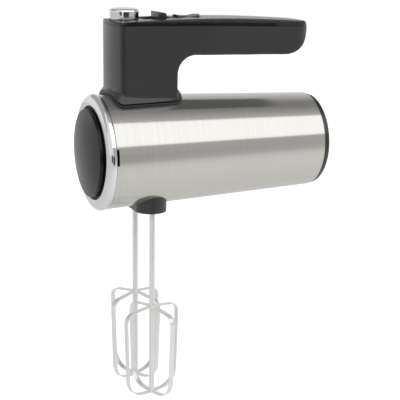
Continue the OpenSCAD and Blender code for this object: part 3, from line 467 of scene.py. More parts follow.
finishes = {
    "barrel_steel": workedMetal("brushedBarrelSteel", {
        "colour": (0.595, 0.585, 0.555), "colour2": (0.635, 0.625, 0.595),
        "wornColour": (0.74, 0.735, 0.72), "rough": 0.15, "roughRange": 0.015, "markRough": 0.012,
        "cloudRough": 0.008, "metallic": 0.87, "anisotropic": 0.75, "blurTurn": 0.25,
        "round": "X", "bump": 0.012, "wear": 0.4, "fineness": 1.4}),
    "bright_chrome": workedMetal("brightChrome", {
        "colour": (0.80, 0.81, 0.82), "colour2": (0.84, 0.85, 0.86),
        "wornColour": (0.9, 0.9, 0.9), "rough": 0.035, "roughRange": 0.015,
        "markRough": 0.05, "wear": 0.3}),
    "beater_steel": workedMetal("polishedBeaterSteel", {
        "colour": (0.86, 0.855, 0.845), "colour2": (0.89, 0.885, 0.875),
        "wornColour": (0.90, 0.90, 0.89), "rough": 0.34, "roughRange": 0.04, "wear": 0.2,
        "metallic": 0.78, "turn": (0, quarter, 0), "fineness": 0.5}),
    "fastener_steel": workedMetal("zincScrewSteel", {
        "colour": (0.42, 0.43, 0.45), "colour2": (0.55, 0.56, 0.58),
        "wornColour": (0.7, 0.7, 0.7), "rough": 0.32, "fineness": 2.0, "bump": 0.1}),
    "ground_steel": workedMetal("groundShaftSteel", {
        "colour": (0.55, 0.56, 0.57), "colour2": (0.66, 0.67, 0.68),
        "wornColour": (0.8, 0.8, 0.8), "rough": 0.2, "fineness": 1.5, "bump": 0.08}),
    "bronze": workedMetal("sinteredBronze", {
        "colour": (0.42, 0.27, 0.12), "colour2": (0.56, 0.38, 0.18),
        "wornColour": (0.72, 0.55, 0.32), "rough": 0.38, "fineness": 0.6, "bump": 0.12}),
    "die_cast": workedMetal("dieCastMetal", {
        "colour": (0.48, 0.49, 0.5), "colour2": (0.58, 0.59, 0.6),
        "wornColour": (0.75, 0.75, 0.75), "rough": 0.45, "fineness": 0.15, "bump": 0.2}),
    "laminated_iron": windingFinish("stackedSheetIron", {
        "metallic": 0.8, "colour": (0.10, 0.10, 0.11), "colour2": (0.26, 0.26, 0.28),
        "bands": 320, "wander": 0.05, "rough": 0.42}),
    "copper_wire": windingFinish("enamelledCopperWire", {
        "metallic": 0.85, "colour": (0.28, 0.09, 0.03), "colour2": (0.62, 0.26, 0.11),
        "bands": 240, "turn": (0, 0, quarter), "rough": 0.3}),
    "charcoal_plastic": mouldedPlastic("charcoalPlastic", {
        "colour": (0.009, 0.009, 0.0093), "colour2": (0.012, 0.012, 0.0123),
        "wornColour": (0.035, 0.035, 0.035), "rough": 0.36, "wear": 0.25, "bump": 0.04,
        "coat": 0.5, "coatRough": 0.14}),
    "nose_plastic": mouldedPlastic("noseCapPlastic", {
        "colour": (0.004, 0.004, 0.0042), "colour2": (0.005, 0.005, 0.0052),
        "wornColour": (0.03, 0.03, 0.03), "rough": 0.18, "ior": 1.36, "wear": 0.3, "bump": 0.01}),
    "black_nylon": mouldedPlastic("blackNylon", {
        "colour": (0.012, 0.012, 0.012), "colour2": (0.020, 0.020, 0.020),
        "wornColour": (0.06, 0.06, 0.06), "rough": 0.5}),
    "nylon": mouldedPlastic("naturalNylon", {
        "colour": (0.72, 0.69, 0.60), "colour2": (0.78, 0.75, 0.67),
        "wornColour": (0.85, 0.83, 0.78), "rough": 0.36, "grain": 1200}),
    "carbon": mouldedPlastic("sinteredCarbon", {
        "colour": (0.016, 0.016, 0.017), "colour2": (0.035, 0.035, 0.036),
        "wornColour": (0.09, 0.09, 0.09), "rough": 0.55, "bump": 0.3}),
    "board_green": mouldedPlastic("boardLacquer", {
        "colour": (0.018, 0.11, 0.045), "colour2": (0.026, 0.15, 0.06),
        "wornColour": (0.3, 0.26, 0.1), "rough": 0.25, "grain": 900}),
    "capacitor_film": mouldedPlastic("dippedFilm", {
        "colour": (0.55, 0.36, 0.04), "colour2": (0.66, 0.45, 0.06),
        "wornColour": (0.75, 0.6, 0.25), "rough": 0.22}),
    "black_rubber": mouldedPlastic("blackRubber", {
        "colour": (0.010, 0.010, 0.010), "colour2": (0.016, 0.016, 0.016),
        "wornColour": (0.04, 0.04, 0.04), "rough": 0.6, "grain": 1800, "bump": 0.2}),
    "wire_red": mouldedPlastic("redWireSleeve", {
        "colour": (0.36, 0.02, 0.018), "colour2": (0.45, 0.035, 0.03),
        "wornColour": (0.5, 0.1, 0.08), "rough": 0.4}),
}
print("finishes made:", len(finishes))

# finishes go on the nodes as the record's slots say

slotOf = {}
for entry in frame["record"]["subparts"]:
    slotOf[entry["node"]] = entry["material_slot"]
for nodeName, nodeObject in frame["nodes"].items():
    nodeObject.data.materials.clear()
    nodeObject.data.materials.append(finishes[slotOf[nodeName]])
print("finishes placed")

# modelling tools

joinX = barrelBox[0].x


def spot(along, side, up):
    # millimetres from the joint of steel and nose ring, and from the motor's axis
    return Vector((joinX + along * mm, side * mm, barrelAxis + up * mm))


def bakePlace(obj):
    focusOn(obj)
    bpy.ops.object.transform_apply(location=True, rotation=True, scale=True)


def startBlock(low, high):
    dropSelection()
    bpy.ops.mesh.primitive_cube_add(size=1, location=(low + high) / 2)
    block = bpy.context.object
    block.scale = high - low
    bakePlace(block)
    return block


def startRod(radius, low, high, sides=128):
    # an upright rod between two places
    dropSelection()
    bpy.ops.mesh.primitive_cylinder_add(vertices=sides, radius=radius * mm, depth=(high - low).z,
                                        location=(low + high) / 2)
    rod = bpy.context.object
    bakePlace(rod)
    return rod


def evenBlock(first, last, half, low, high):
    # a block that reaches equally far to both sides
    return startBlock(spot(first, -half, low), spot(last, half, high))


def editOn(obj):
    focusOn(obj)
    bpy.ops.object.mode_set(mode="EDIT")


def editOff():
    bpy.ops.object.mode_set(mode="OBJECT")


def selectAll():
    bpy.ops.mesh.select_all(action="SELECT")


def pick(obj, kind, rule):
    bpy.ops.mesh.select_mode(type=kind)
    bpy.ops.mesh.select_all(action="DESELECT")
    mesh = bmesh.from_edit_mesh(obj.data)
    items = {"VERT": mesh.verts, "EDGE": mesh.edges, "FACE": mesh.faces}[kind]
    for item in items:
        if rule(item):
            item.select_set(True)
    bmesh.update_edit_mesh(obj.data)


def near(value, target, reach=0.02):
    return abs(value - target) < reach * mm


def cornerAt(along, up):
    # points at one place in the side view
    where = spot(along, 0, up)
    return lambda v: near(v.co.x, where.x) and near(v.co.z, where.z)


def edgeAt(along, up):
    # edges that run across at one place in the side view
    isCorner = cornerAt(along, up)
    return lambda edge: all(isCorner(v) for v in edge.verts)


def upright(least):
    # edges that stand up by more than a length
    return lambda edge: abs(edge.verts[0].co.z - edge.verts[1].co.z) > least * mm


def uprightAt(along, least=20):
    # edges that stand up at one place along the barrel
    isUpright, where = upright(least), spot(along, 0, 0).x
    return lambda edge: all(near(v.co.x, where) for v in edge.verts) and isUpright(edge)


def roundEdges(obj, rule, radius, steps):
    pick(obj, "EDGE", rule)
    bpy.ops.mesh.bevel(offset=radius * mm, segments=steps, affect="EDGES")


def roundedPad(long, wide, corner, middle, low, high, steps=10):
    pad = evenBlock(middle - long / 2, middle + long / 2, wide / 2, low, high)
    editOn(pad)
    roundEdges(pad, upright((high - low) / 2), corner, steps)
    editOff()
    return pad


def ovalPad(long, wide, middle, low, high):
    return roundedPad(long, wide, wide / 2 * 0.999, middle, low, high)


def liftTo(obj, rule, up):
    pick(obj, "VERT", rule)
    mesh = bmesh.from_edit_mesh(obj.data)
    found = [v.co.z for v in mesh.verts if v.select]
    bpy.ops.transform.translate(value=(0, 0, spot(0, 0, up).z - found[0]))


def pullOut(move):
    bpy.ops.mesh.extrude_region_move(TRANSFORM_OT_translate={"value": move})


def shapeWith(obj, kind, **values):
    # one modifier, set and applied
    mod = obj.modifiers.new(kind.lower(), kind)
    for key, value in values.items():
        setattr(mod, key, value)
    focusOn(obj)
    bpy.ops.object.modifier_apply(modifier=mod.name)


def cutWith(obj, cutter, how="DIFFERENCE"):
    shapeWith(obj, "BOOLEAN", operation=how, solver="EXACT", object=cutter)
    bpy.data.objects.remove(cutter, do_unlink=True)


def joinAll(objs):
    dropSelection()
    for obj in objs:
        obj.select_set(True)
    bpy.context.view_layer.objects.active = objs[0]
    bpy.ops.object.join()
    return objs[0]


def meltForm(obj, voxel, rounds):
    # one moulded skin with soft edges over joined blocks
    shapeWith(obj, "REMESH", mode="VOXEL", voxel_size=voxel * mm, use_smooth_shade=True)
    shapeWith(obj, "SMOOTH", factor=0.5, iterations=rounds)


def softEdges(obj, width, steps, angle):
    shapeWith(obj, "BEVEL", width=width * mm, segments=steps, limit_method="ANGLE",
              angle_limit=math.radians(angle))


def mergeMesh():
    # doubled points become one, and the faces point outwards
    selectAll()
    bpy.ops.mesh.remove_doubles(threshold=0.002 * mm)
    bpy.ops.mesh.normals_make_consistent(inside=False)
    editOff()


def closeHoles(obj):
    editOn(obj)
    selectAll()
    bpy.ops.mesh.fill_holes(sides=0)
    selectAll()
    bpy.ops.mesh.normals_make_consistent(inside=False)
    editOff()


def axisSpot(axis, centre, along):
    # a place on a turned piece's own axis
    return spot(along, *centre) if axis == "X" else spot(*centre, along)


def growRings(axis, centre, start, path):
    # the selected ring is drawn along the axis from radius to radius
    across = Vector((1, 0, 0)) if axis == "X" else Vector((0, 0, 1))
    along, radius = start
    for nextAlong, nextRadius in path:
        pullOut(across * (nextAlong - along) * mm)
        if nextRadius == 0:
            bpy.ops.mesh.merge(type="CENTER")
        else:
            grow = nextRadius / radius
            factors = (1, grow, grow) if axis == "X" else (grow, grow, 1)
            bpy.ops.transform.resize(value=factors, center_override=axisSpot(axis, centre, nextAlong))
        along, radius = nextAlong, nextRadius


def turnedPiece(outer, inner=(), axis="X", centre=(0, 0), sides=192, closed=False):
    start = outer[0]
    middle = axisSpot(axis, centre, start[0])
    dropSelection()
    bpy.ops.mesh.primitive_circle_add(vertices=sides, radius=start[1] * mm, location=middle,
                                      rotation=(0, quarter if axis == "X" else 0, 0))
    piece = bpy.context.object
    bakePlace(piece)
    editOn(piece)
    selectAll()
    growRings(axis, centre, start, list(outer[1:]) + ([start] if closed else []))
    if inner:
        place = 0 if axis == "X" else 2
        pick(piece, "VERT", lambda v: near(v.co[place], middle[place], 0.001)
             and near((v.co - middle).length, start[1] * mm, 0.01))
        growRings(axis, centre, start, inner)
    mergeMesh()
    return piece


def smoothShade(obj, degrees=32):
    focusOn(obj)
    bpy.ops.object.shade_smooth_by_angle(angle=math.radians(degrees))


def placePiece(obj, name, body, slotName, *nodes, finish=None):
    bakePlace(obj)
    obj.name = name
    obj.data.name = name
    obj.data.materials.clear()
    obj.data.materials.append(finish or finishes[slotName])
    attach(obj, body)
    if nodes:
        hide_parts(*nodes)
    print("made", name, len(obj.data.polygons), "faces")
    return obj


# barrel, nose ring and nose cap

barrelLook = {"front": 43.5, "rear": 37.5, "length": 174.5, "sheet": 0.8, "sides": 320, "rings": 24,
              "catchFrom": -0.4, "catchLong": 2.1, "catchLow": -2, "catchHigh": 10,
              "catchInside": 38, "catchOutside": 46}


def barrelRadius(along):
    return barrelLook["front"] + (barrelLook["rear"] - barrelLook["front"]) * along / barrelLook["length"]


def barrelCone(first, last, off):
    # a solid cone that runs a distance outside the barrel
    cone = turnedPiece([(first, barrelRadius(first) + off), (last, barrelRadius(last) + off)],
                       sides=barrelLook["sides"])
    closeHoles(cone)
    return cone


def catchSlots(piece):
    # one slot on each side, for the catches that hold the nose ring
    look = barrelLook
    for side in (-1, 1):
        first, last = sorted((side * look["catchInside"], side * look["catchOutside"]))
        cutWith(piece, startBlock(spot(look["catchFrom"], first, look["catchLow"]),
                                  spot(look["catchFrom"] + look["catchLong"], last, look["catchHigh"])))


socketLook = {"along": 36, "half": 15.4, "radius": 12.4, "cutLow": -60, "cutHigh": -20}
neckLook = {"from": 15.6, "to": 50, "half": 11, "cutLow": 20, "cutHigh": 60}


def neckCut():
    # the way that wires and the eject plunger take from the handle into the barrel
    look = neckLook
    return evenBlock(look["from"], look["to"], look["half"], look["cutLow"], look["cutHigh"])


def socketCut():
    # the round-ended opening for the beater socket's block
    look = socketLook
    return roundedPad(2 * look["radius"], 2 * (look["half"] + look["radius"]), look["radius"] * 0.9995,
                      look["along"], look["cutLow"], look["cutHigh"], 24)


def makeBarrel():
    look = barrelLook
    stations = [look["length"] * i / look["rings"] for i in range(look["rings"] + 1)]
    outer = [(x, barrelRadius(x)) for x in stations]
    inner = [(x, barrelRadius(x) - look["sheet"]) for x in reversed(stations)]
    piece = turnedPiece(outer + inner, sides=look["sides"], closed=True)
    catchSlots(piece)
    cutWith(piece, socketCut())
    cutWith(piece, neckCut())
    smoothShade(piece)
    return placePiece(piece, "barrelTube", "housing", "barrel_steel", "barrel_sleeve")


noseLook = {"ring": 44.1, "mouth": 35.5, "mouthAt": -6.5, "recessAt": -4.2, "bore": 27.2, "collar": 42.3,
            "collarThick": 2.7, "collarFrom": 0.6, "collarTo": 7, "web": 5, "flange": 2.4, "edge": 0.45,
            # the ring's side: place along the barrel, and how far out from the ring's radius
            "side": ((-1.2, 0), (-3.2, 0), (-4.6, -0.9), (-5.7, -2.4)),
            "lipOut": 0.15, "lipIn": 0.3, "lip": 0.8,
            "cap": 33.3, "rimAt": -9.6, "rise": 3.1, "capThick": 2.2, "capEdge": 0.7, "capFoot": -0.8,
            "capGap": 0.05, "domeSteps": 14, "edgeSteps": 6}


def makeNoseRing():
    look = noseLook
    flangeBack = look["recessAt"] + look["flange"]
    collarBore = look["collar"] - look["collarThick"]
    outline = [(0, barrelLook["front"])] + [(along, look["ring"] + out) for along, out in look["side"]]
    outline += [
        (look["mouthAt"] - look["lipOut"], look["mouth"] + look["lip"]),
        (look["mouthAt"] + look["lipIn"], look["mouth"]),
        (look["recessAt"], look["mouth"]), (look["recessAt"], look["bore"]), (flangeBack, look["bore"]),
        (flangeBack, look["collar"] - look["web"]), (look["collarFrom"], collarBore),
        (look["collarTo"], collarBore), (look["collarTo"], look["collar"]), (0, look["collar"])]
    piece = turnedPiece(outline, sides=256, closed=True)
    softEdges(piece, look["edge"], 4, 12)
    catchSlots(piece)
    smoothShade(piece)
    return placePiece(piece, "noseRing", "housing", "bright_chrome", "nose_ring")


def makeNoseCap():
    look = noseLook
    ball = (look["cap"] ** 2 + look["rise"] ** 2) / (2 * look["rise"])
    tip = look["rimAt"] - look["rise"]
    rimFrom = look["cap"] - look["capEdge"]

    def dome(radius, thick=0.0):
        return tip + thick + ball - math.sqrt(ball ** 2 - radius ** 2)

    edge = []
    for step in range(1, look["edgeSteps"]):
        turn = quarter * step / look["edgeSteps"]
        edge.append((dome(rimFrom) + look["capEdge"] * (1 - math.sin(turn)),
                     rimFrom + look["capEdge"] * math.cos(turn)))
    rings = [rimFrom * (1 - i / look["domeSteps"]) for i in range(look["domeSteps"])]
    sleeve = look["bore"] - look["capGap"]
    bore = look["bore"] - look["capThick"]
    outer = [(look["capFoot"], bore), (look["capFoot"], sleeve),
             (look["rimAt"] + look["capThick"], sleeve),
             (look["rimAt"] + look["capThick"], look["cap"])]
    outer += [(dome(rimFrom) + look["capEdge"], look["cap"])] + edge
    outer += [(dome(radius), radius) for radius in rings] + [(tip, 0)]
    inner = [(dome(bore, look["capThick"]), bore), (dome(bore / 2, look["capThick"]), bore / 2),
             (tip + look["capThick"], 0)]
    piece = turnedPiece(outer, inner, sides=256)
    smoothShade(piece)
    return placePiece(piece, "noseDome", "housing", "nose_plastic", "nose_cap")


makeBarrel()
makeNoseRing()
makeNoseCap()

# handle: shell, foot, cover, shadow groove and the strip of painted shade in it

handleLook = {
    "front": 8.0,               # bowed front face
    # 1.2 past the cover's end, before the slant and the rounding shorten it
    "tip": (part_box("handle_cover")[1].x - joinX) / mm + 1.2,
    "corner": 10.3, "bow": 2.3, "back": 56, "floor": 73.3, "sag": 2.7, "slant": 8,
    "frontWide": 43.2, "tailWide": 35, "wideLow": 0.4, "wideHigh": -0.5, "low": 34, "high": 106,
    "taperFrom": 4, "taperLess": 20.5, "legFoot": 20, "coneFrom": 1, "coneTo": 75,
    "cornerRound": 2.6, "tailRound": 15, "armRound": 14, "heelRound": 20, "topRound": 7.5,
    "seamFront": 95.6, "seamSlope": 0.0105, "seamBend": 0.00009, "seamGap": 0.06, "coverInset": 0.12,
    "crownTop": 100.4, "crownAt": 70, "crownLong": 1240, "crownCross": 300, "crownDeep": 200.0,
    "shoulderLift": 0.1, "topSlope": 0.082, "wall": 2.4, "roof": 2, "shadeAngle": 50,
    # how coarse the moulded skin is, and how often it is smoothed
    "voxel": 0.8, "rounds": 9, "coverVoxel": 0.55, "coverRounds": 10,
    "grooveFrom": 12.9, "grooveTo": 140, "grooveHigh": 2.5, "grooveDeep": 1.5,
    # heights off the barrel: the foot's seat, the cavity's floor and the line round the foot
    "seatLift": 1.51, "cavityLift": 4.6, "lipFrom": 2.4, "lipTo": 3.3, "lipDeep": 1.6,
    "footFront": 6.6, "footRear": 62.3, "footWide": 23.2, "footTail": 20.3, "footRound": 5,
    "footTailRound": 10, "footLow": 30, "footHigh": 61,
    # each step of the foot's flare: height off the barrel, and how far it stands out
    "footSteps": ((4.1, 0), (4.4, -0.8), (4.9, -1.3), (5.6, -1.7), (6.6, -2)),
}


blockHalf = 40                  # half width of the blocks that the handle's forms start as


def seamHeight(along):
    reach = along - handleLook["corner"]
    return handleLook["seamFront"] - handleLook["seamSlope"] * reach - handleLook["seamBend"] * reach ** 2


def cornerReach(radius, before, corner, after):
    # how far a fillet of a radius starts from its corner
    first = (Vector(before) - Vector(corner)).normalized()
    second = (Vector(after) - Vector(corner)).normalized()
    return radius / math.tan(first.angle(second) / 2)


def sideForm(inset):
    look = handleLook
    nose, back, tip = look["front"] + inset, look["back"] - inset, look["tip"] - inset
    under, heel = look["floor"] + inset, look["tip"] - inset - look["slant"]
    shoulder = (look["crownTop"] - (look["tip"] - look["crownAt"]) ** 2 / (2 * look["crownLong"])
                + look["shoulderLift"] - inset)
    crest = shoulder + look["topSlope"] * (tip - back)
    form = evenBlock(nose, back, blockHalf, look["legFoot"], under)
    editOn(form)
    pick(form, "FACE", lambda f: f.normal.z > 0.9)
    pullOut((0, 0, (crest - under) * mm))
    liftTo(form, cornerAt(nose, crest), crest + look["topSlope"] * (back - nose))
    pick(form, "FACE", lambda f: f.normal.x > 0.9 and f.calc_center_median().z > spot(0, 0, under).z)
    pullOut(((tip - back) * mm, 0, 0))
    liftTo(form, cornerAt(tip, crest), shoulder)
    pick(form, "VERT", cornerAt(tip, under))
    bpy.ops.transform.translate(value=(-look["slant"] * mm, 0, -look["sag"] * mm))
    low = under - look["sag"]
    for radius, before, corner, after, steps in (
            (look["topRound"] - inset, (heel, low), (tip, shoulder), (back, crest), 8),
            (look["heelRound"] - inset, (back, under), (heel, low), (tip, shoulder), 18),
            (look["armRound"] + inset, (back, 0), (back, under), (heel, low), 16)):
        roundEdges(form, edgeAt(*corner), cornerReach(radius, before, corner, after), steps)
    editOff()
    return form


def widenTo(obj, rule, half):
    pick(obj, "VERT", rule)
    bpy.ops.transform.resize(value=(1, half / blockHalf, 1), center_override=(0, 0, 0))


def planForm(inset):
    look = handleLook
    nose, tip = look["corner"] + inset, look["tip"] - inset
    slope = (look["tailWide"] - look["frontWide"]) / 2 / (look["tip"] - look["corner"] - look["taperLess"])
    form = evenBlock(nose, tip, blockHalf, look["low"], look["high"])
    editOn(form)
    for along in (nose, tip):
        for height, widen in ((look["low"], look["wideLow"]), (look["high"], look["wideHigh"])):
            taper = slope * (along - look["corner"] - look["taperFrom"])
            widenTo(form, cornerAt(along, height), (look["frontWide"] + widen) / 2 - inset + taper)
    for along, radius, steps in ((nose, look["cornerRound"] - inset, 8),
                                 (tip, look["tailRound"] - inset, 18)):
        if radius > 0:
            roundEdges(form, uprightAt(along), radius, steps)
    editOff()
    bowHalf = look["frontWide"] / 2 - look["cornerRound"] + look["wideLow"] / 4
    bowRadius = (bowHalf ** 2 + look["bow"] ** 2) / (2 * look["bow"])
    bowAt = look["front"] + inset + bowRadius
    bow = startRod(bowRadius, spot(bowAt, 0, look["low"]), spot(bowAt, 0, look["high"]), 400)
    editOn(bow)
    for where, facing in ((spot(nose + 3, 0, 0), (1, 0, 0)), (spot(0, bowHalf - inset, 0), (0, 1, 0)),
                          (spot(0, inset - bowHalf, 0), (0, -1, 0))):
        selectAll()
        bpy.ops.mesh.bisect(plane_co=where, plane_no=facing, use_fill=True, clear_outer=True)
    editOff()
    cutWith(form, bow, "UNION")
    return form


def seamBlock(above, first=-5, last=185):
    # everything under a curve that runs a distance above the seam
    half, floor, roof = 60, -30, 120
    form = evenBlock(first, last, half, floor, roof)
    stations = [first + (last - first) * i / 6 for i in range(7)]
    editOn(form)
    for along in stations[1:-1]:
        selectAll()
        bpy.ops.mesh.bisect(plane_co=spot(along, 0, 0), plane_no=(1, 0, 0))
    for along in stations:
        liftTo(form, cornerAt(along, roof), seamHeight(along) + above)
    editOff()
    return form


def crownForm(drop):
    # a large ball, stretched, whose top is the cover's crown
    look = handleLook
    deep = look["crownDeep"]
    dropSelection()
    bpy.ops.mesh.primitive_uv_sphere_add(segments=256, ring_count=160, radius=mm,
                                         location=spot(look["crownAt"], 0, look["crownTop"] - drop - deep))
    form = bpy.context.object
    form.scale = (math.sqrt(look["crownLong"] * deep), math.sqrt(look["crownCross"] * deep), deep)
    bakePlace(form)
    return form


def footOutline(grow):
    # the foot seen from above, as an upright block
    look = handleLook
    front, rear = look["footFront"] - grow, look["footRear"] + grow
    foot = evenBlock(front, rear, blockHalf, look["footLow"], look["footHigh"])
    editOn(foot)
    for along, half, radius, steps in (
            (front, look["footWide"] + grow, look["footRound"] + grow, 10),
            (rear, look["footTail"] + grow, look["footTailRound"] + grow, 18)):
        widenTo(foot, lambda v: near(v.co.x, spot(along, 0, 0).x), half)
        roundEdges(foot, uprightAt(along), radius, steps)
    editOff()
    return foot


def underCone(lift, extra):
    # the barrel's cone under the foot, grown by a lift and longer at both ends
    return barrelCone(handleLook["coneFrom"] - extra, handleLook["coneTo"] + extra, lift)


def footStep(lift, grow):
    foot = footOutline(grow)
    cutWith(foot, underCone(lift, 0), "INTERSECT")
    return foot


def handleForm(inset, planInset):
    form = sideForm(inset)
    cutWith(form, planForm(planInset), "INTERSECT")
    return form


def makeShell():
    look = handleLook
    form = joinAll([handleForm(0, 0)] + [footStep(lift, grow) for lift, grow in look["footSteps"]])
    meltForm(form, look["voxel"], look["rounds"])
    cutWith(form, seamBlock(-look["seamGap"]), "INTERSECT")
    cavity = handleForm(look["wall"], look["wall"])
    cutWith(cavity, underCone(look["cavityLift"], 1))
    cutWith(form, cavity)
    cutWith(form, underCone(look["seatLift"], 5))
    # shadow line between the foot's rim and its flare
    gap = underCone(look["lipTo"], 5)
    cutWith(gap, underCone(look["lipFrom"], 7))
    cutWith(gap, footOutline(-look["lipDeep"]))
    cutWith(form, gap)
    cutWith(form, neckCut())
    cutWith(form, knobHole(*knobLook["well"]))
    smoothShade(form, look["shadeAngle"])
    return placePiece(form, "handleShell", "housing", "charcoal_plastic", "handle_shell")


trackLook = {"from": 32.6, "to": 57.4, "wide": 21, "corner": 2}
turboLook = {
    "along": 70, "long": 21.2, "wide": 12.2, "foot": 94.5, "top": 102.1, "dish": 26.7, "dishAt": 126.7,
    "room": 1.6,                # how much larger its opening is
    # the rim under the cover, by how much larger it is than the button, and the stem below it
    "rimLong": 2, "rimWide": 2.4, "rimFrom": 96.4, "rimTo": 97.9, "stem": 1.3, "stemFoot": 88, "edge": 0.3,
}
knobLook = {
    "along": 20.6, "radius": 10.9, "foot": 97.6, "high": 9, "dome": 1.3, "domeBall": 50,
    "gap": 0.4, "shellThick": 2.4, "roof": 2, "edge": 0.35,
    "well": (92, 110),          # heights between which the shell is cut round the knob
    # height over the foot or over the top, and how far out from the radius
    "skirt": ((0, -1), (0.5, -0.5)), "rim": ((-1.5, 0), (-0.5, -0.25), (0.1, -0.9)),
    "domeRings": (8.8, 7.5, 6, 4.5, 3, 1.5),
}
# the strip of painted shade in the groove, a near-black sheet where the groove lies in shadow: below the
# groove's top, short of its ends, above the seam, proud of the groove's bottom, and how far its back stays
# from the inner face of the wall
shadeStripLook = {"below": 0.25, "short": 0.2, "lift": 0.35, "out": 0.12, "in": 0.3}
coverCut = (80, 120)            # heights between which the cover's openings are cut


def knobHole(low, high):
    look = knobLook
    return startRod(look["radius"] + look["gap"], spot(look["along"], 0, low), spot(look["along"], 0, high))


# the top cover is glossier than the shell under it
coverFinish = mouldedPlastic("glossyTopCover", {
    "colour": (0.012, 0.012, 0.0125), "colour2": (0.014, 0.014, 0.0145), "wornColour": (0.03, 0.03, 0.03),
    "rough": 0.20, "wear": 0.2, "bump": 0.02})
# the near-black finish of the strip of painted shade in the groove
groovePaintedShadeFinish = mouldedPlastic("groovePaintedShade", {
    "colour": (0.004, 0.004, 0.004), "colour2": (0.006, 0.006, 0.006), "wornColour": (0.01, 0.01, 0.01),
    "rough": 0.45, "wear": 0.1, "ior": 1.22})


def makeCover():
    look = handleLook
    form = handleForm(0, look["coverInset"])
    cutWith(form, crownForm(0), "INTERSECT")
    groove = seamBlock(look["grooveHigh"], look["grooveFrom"], look["grooveTo"])
    cutWith(groove, planForm(look["grooveDeep"]))
    cutWith(form, groove)
    cutWith(form, knobHole(*coverCut))
    cutWith(form, roundedPad(trackLook["to"] - trackLook["from"], trackLook["wide"], trackLook["corner"],
                             (trackLook["from"] + trackLook["to"]) / 2, *coverCut))
    cutWith(form, ovalPad(turboLook["long"] + turboLook["room"], turboLook["wide"] + turboLook["room"],
                          turboLook["along"], *coverCut))
    meltForm(form, look["coverVoxel"], look["coverRounds"])
    cutWith(form, seamBlock(look["seamGap"]))
    hollow = handleForm(look["wall"], look["wall"])
    cutWith(hollow, crownForm(look["roof"]), "INTERSECT")
    cutWith(form, hollow)
    smoothShade(form, look["shadeAngle"])
    return placePiece(form, "handleCover", "housing", "charcoal_plastic", "handle_cover",
                      finish=coverFinish)


def makePaintedShadeStrip():
    # a near-black strip at the bottom of the groove: painted shade where the groove lies in shadow
    look, strip = handleLook, shadeStripLook
    form = seamBlock(look["grooveHigh"] - strip["below"], look["grooveFrom"] + strip["short"],
                     look["grooveTo"] - strip["short"])
    cutWith(form, seamBlock(strip["lift"]))
    cutWith(form, planForm(look["grooveDeep"] - strip["out"]), "INTERSECT")
    cutWith(form, planForm(look["wall"] - strip["in"]))
    smoothShade(form)
    return placePiece(form, "groovePaintedShadeStrip", "housing", "black_rubber", finish=groovePaintedShadeFinish)


makeShell()
makeCover()
makePaintedShadeStrip()

# controls: eject knob, speed slider, turbo button


def makeKnob():
    look = knobLook
    radius, top = look["radius"], look["foot"] + look["high"]
    bore, peak = radius - look["shellThick"], top + look["dome"]

    def dome(reach):
        return peak - look["domeBall"] + math.sqrt(look["domeBall"] ** 2 - reach ** 2)

    outer = [(look["foot"], bore)] + [(look["foot"] + up, radius + out) for up, out in look["skirt"]]
    outer += [(top + up, radius + out) for up, out in look["rim"]]
    outer += [(dome(reach), reach) for reach in look["domeRings"]] + [(peak, 0)]
    inner = [(top - look["roof"], bore), (top - look["roof"], 0)]
    piece = turnedPiece(outer, inner, axis="Z", centre=(look["along"], 0), sides=128)
    softEdges(piece, look["edge"], 3, 14)
    smoothShade(piece)
    return placePiece(piece, "knobShell", "ejector", "bright_chrome", "eject_knob")


thumbLook = {"along": 47.8, "long": 6, "wide": 18, "foot": 97.2, "top": 104.0, "lift": 0.4,
             "rearRound": 1.9, "cornerRound": 0.8, "edge": 0.4,
             "stemLong": 4.4, "stemWide": 3, "stemFoot": 90}


def makeThumb():
    look = thumbLook
    front, rear = look["along"] - look["long"] / 2, look["along"] + look["long"] / 2
    piece = evenBlock(front, rear, look["wide"] / 2, look["foot"], look["top"])
    editOn(piece)
    roundEdges(piece, edgeAt(rear, look["top"]), look["rearRound"], 5)
    roundEdges(piece, upright(3), look["cornerRound"], 3)
    liftTo(piece, lambda v: near(v.co.z, spot(0, 0, look["top"]).z) and v.co.x < spot(front + 2, 0, 0).x,
           look["top"] + look["lift"])
    editOff()
    softEdges(piece, look["edge"], 3, 25)
    stem = evenBlock(look["along"] - look["stemLong"] / 2, look["along"] + look["stemLong"] / 2,
                     look["stemWide"] / 2, look["stemFoot"], look["foot"] + 1)
    piece = joinAll([piece, stem])
    smoothShade(piece)
    return placePiece(piece, "speedThumb", "speed_slider", "charcoal_plastic", "slider_thumb")


def makeTurbo():
    look = turboLook
    piece = ovalPad(look["long"], look["wide"], look["along"], look["foot"], look["top"])
    dropSelection()
    bpy.ops.mesh.primitive_uv_sphere_add(segments=160, ring_count=96, radius=look["dish"] * mm,
                                         location=spot(look["along"], 0, look["dishAt"]))
    ball = bpy.context.object
    bakePlace(ball)
    cutWith(piece, ball)
    rim = ovalPad(look["long"] + look["rimLong"], look["wide"] + look["rimWide"], look["along"],
                  look["rimFrom"], look["rimTo"])
    stem = startRod(look["stem"], spot(look["along"], 0, look["stemFoot"]),
                    spot(look["along"], 0, look["foot"] + 0.5), 32)
    cutWith(piece, rim, "UNION")
    cutWith(piece, stem, "UNION")
    softEdges(piece, look["edge"], 3, 50)
    smoothShade(piece)
    return placePiece(piece, "turboPad", "turbo", "charcoal_plastic", "turbo_button")


springLook = {
    "ring": 12, "steps": 26, "turns": 5,
    # travel: how much of the coil's length goes when its button is down
    "ejectSpring": {"node": "eject_spring", "joint": "eject_press", "wire": 0.5, "travel": 5.1},
    "turboSpring": {"node": "turbo_spring", "joint": "turbo_press", "wire": 0.35, "travel": 1.7},
}


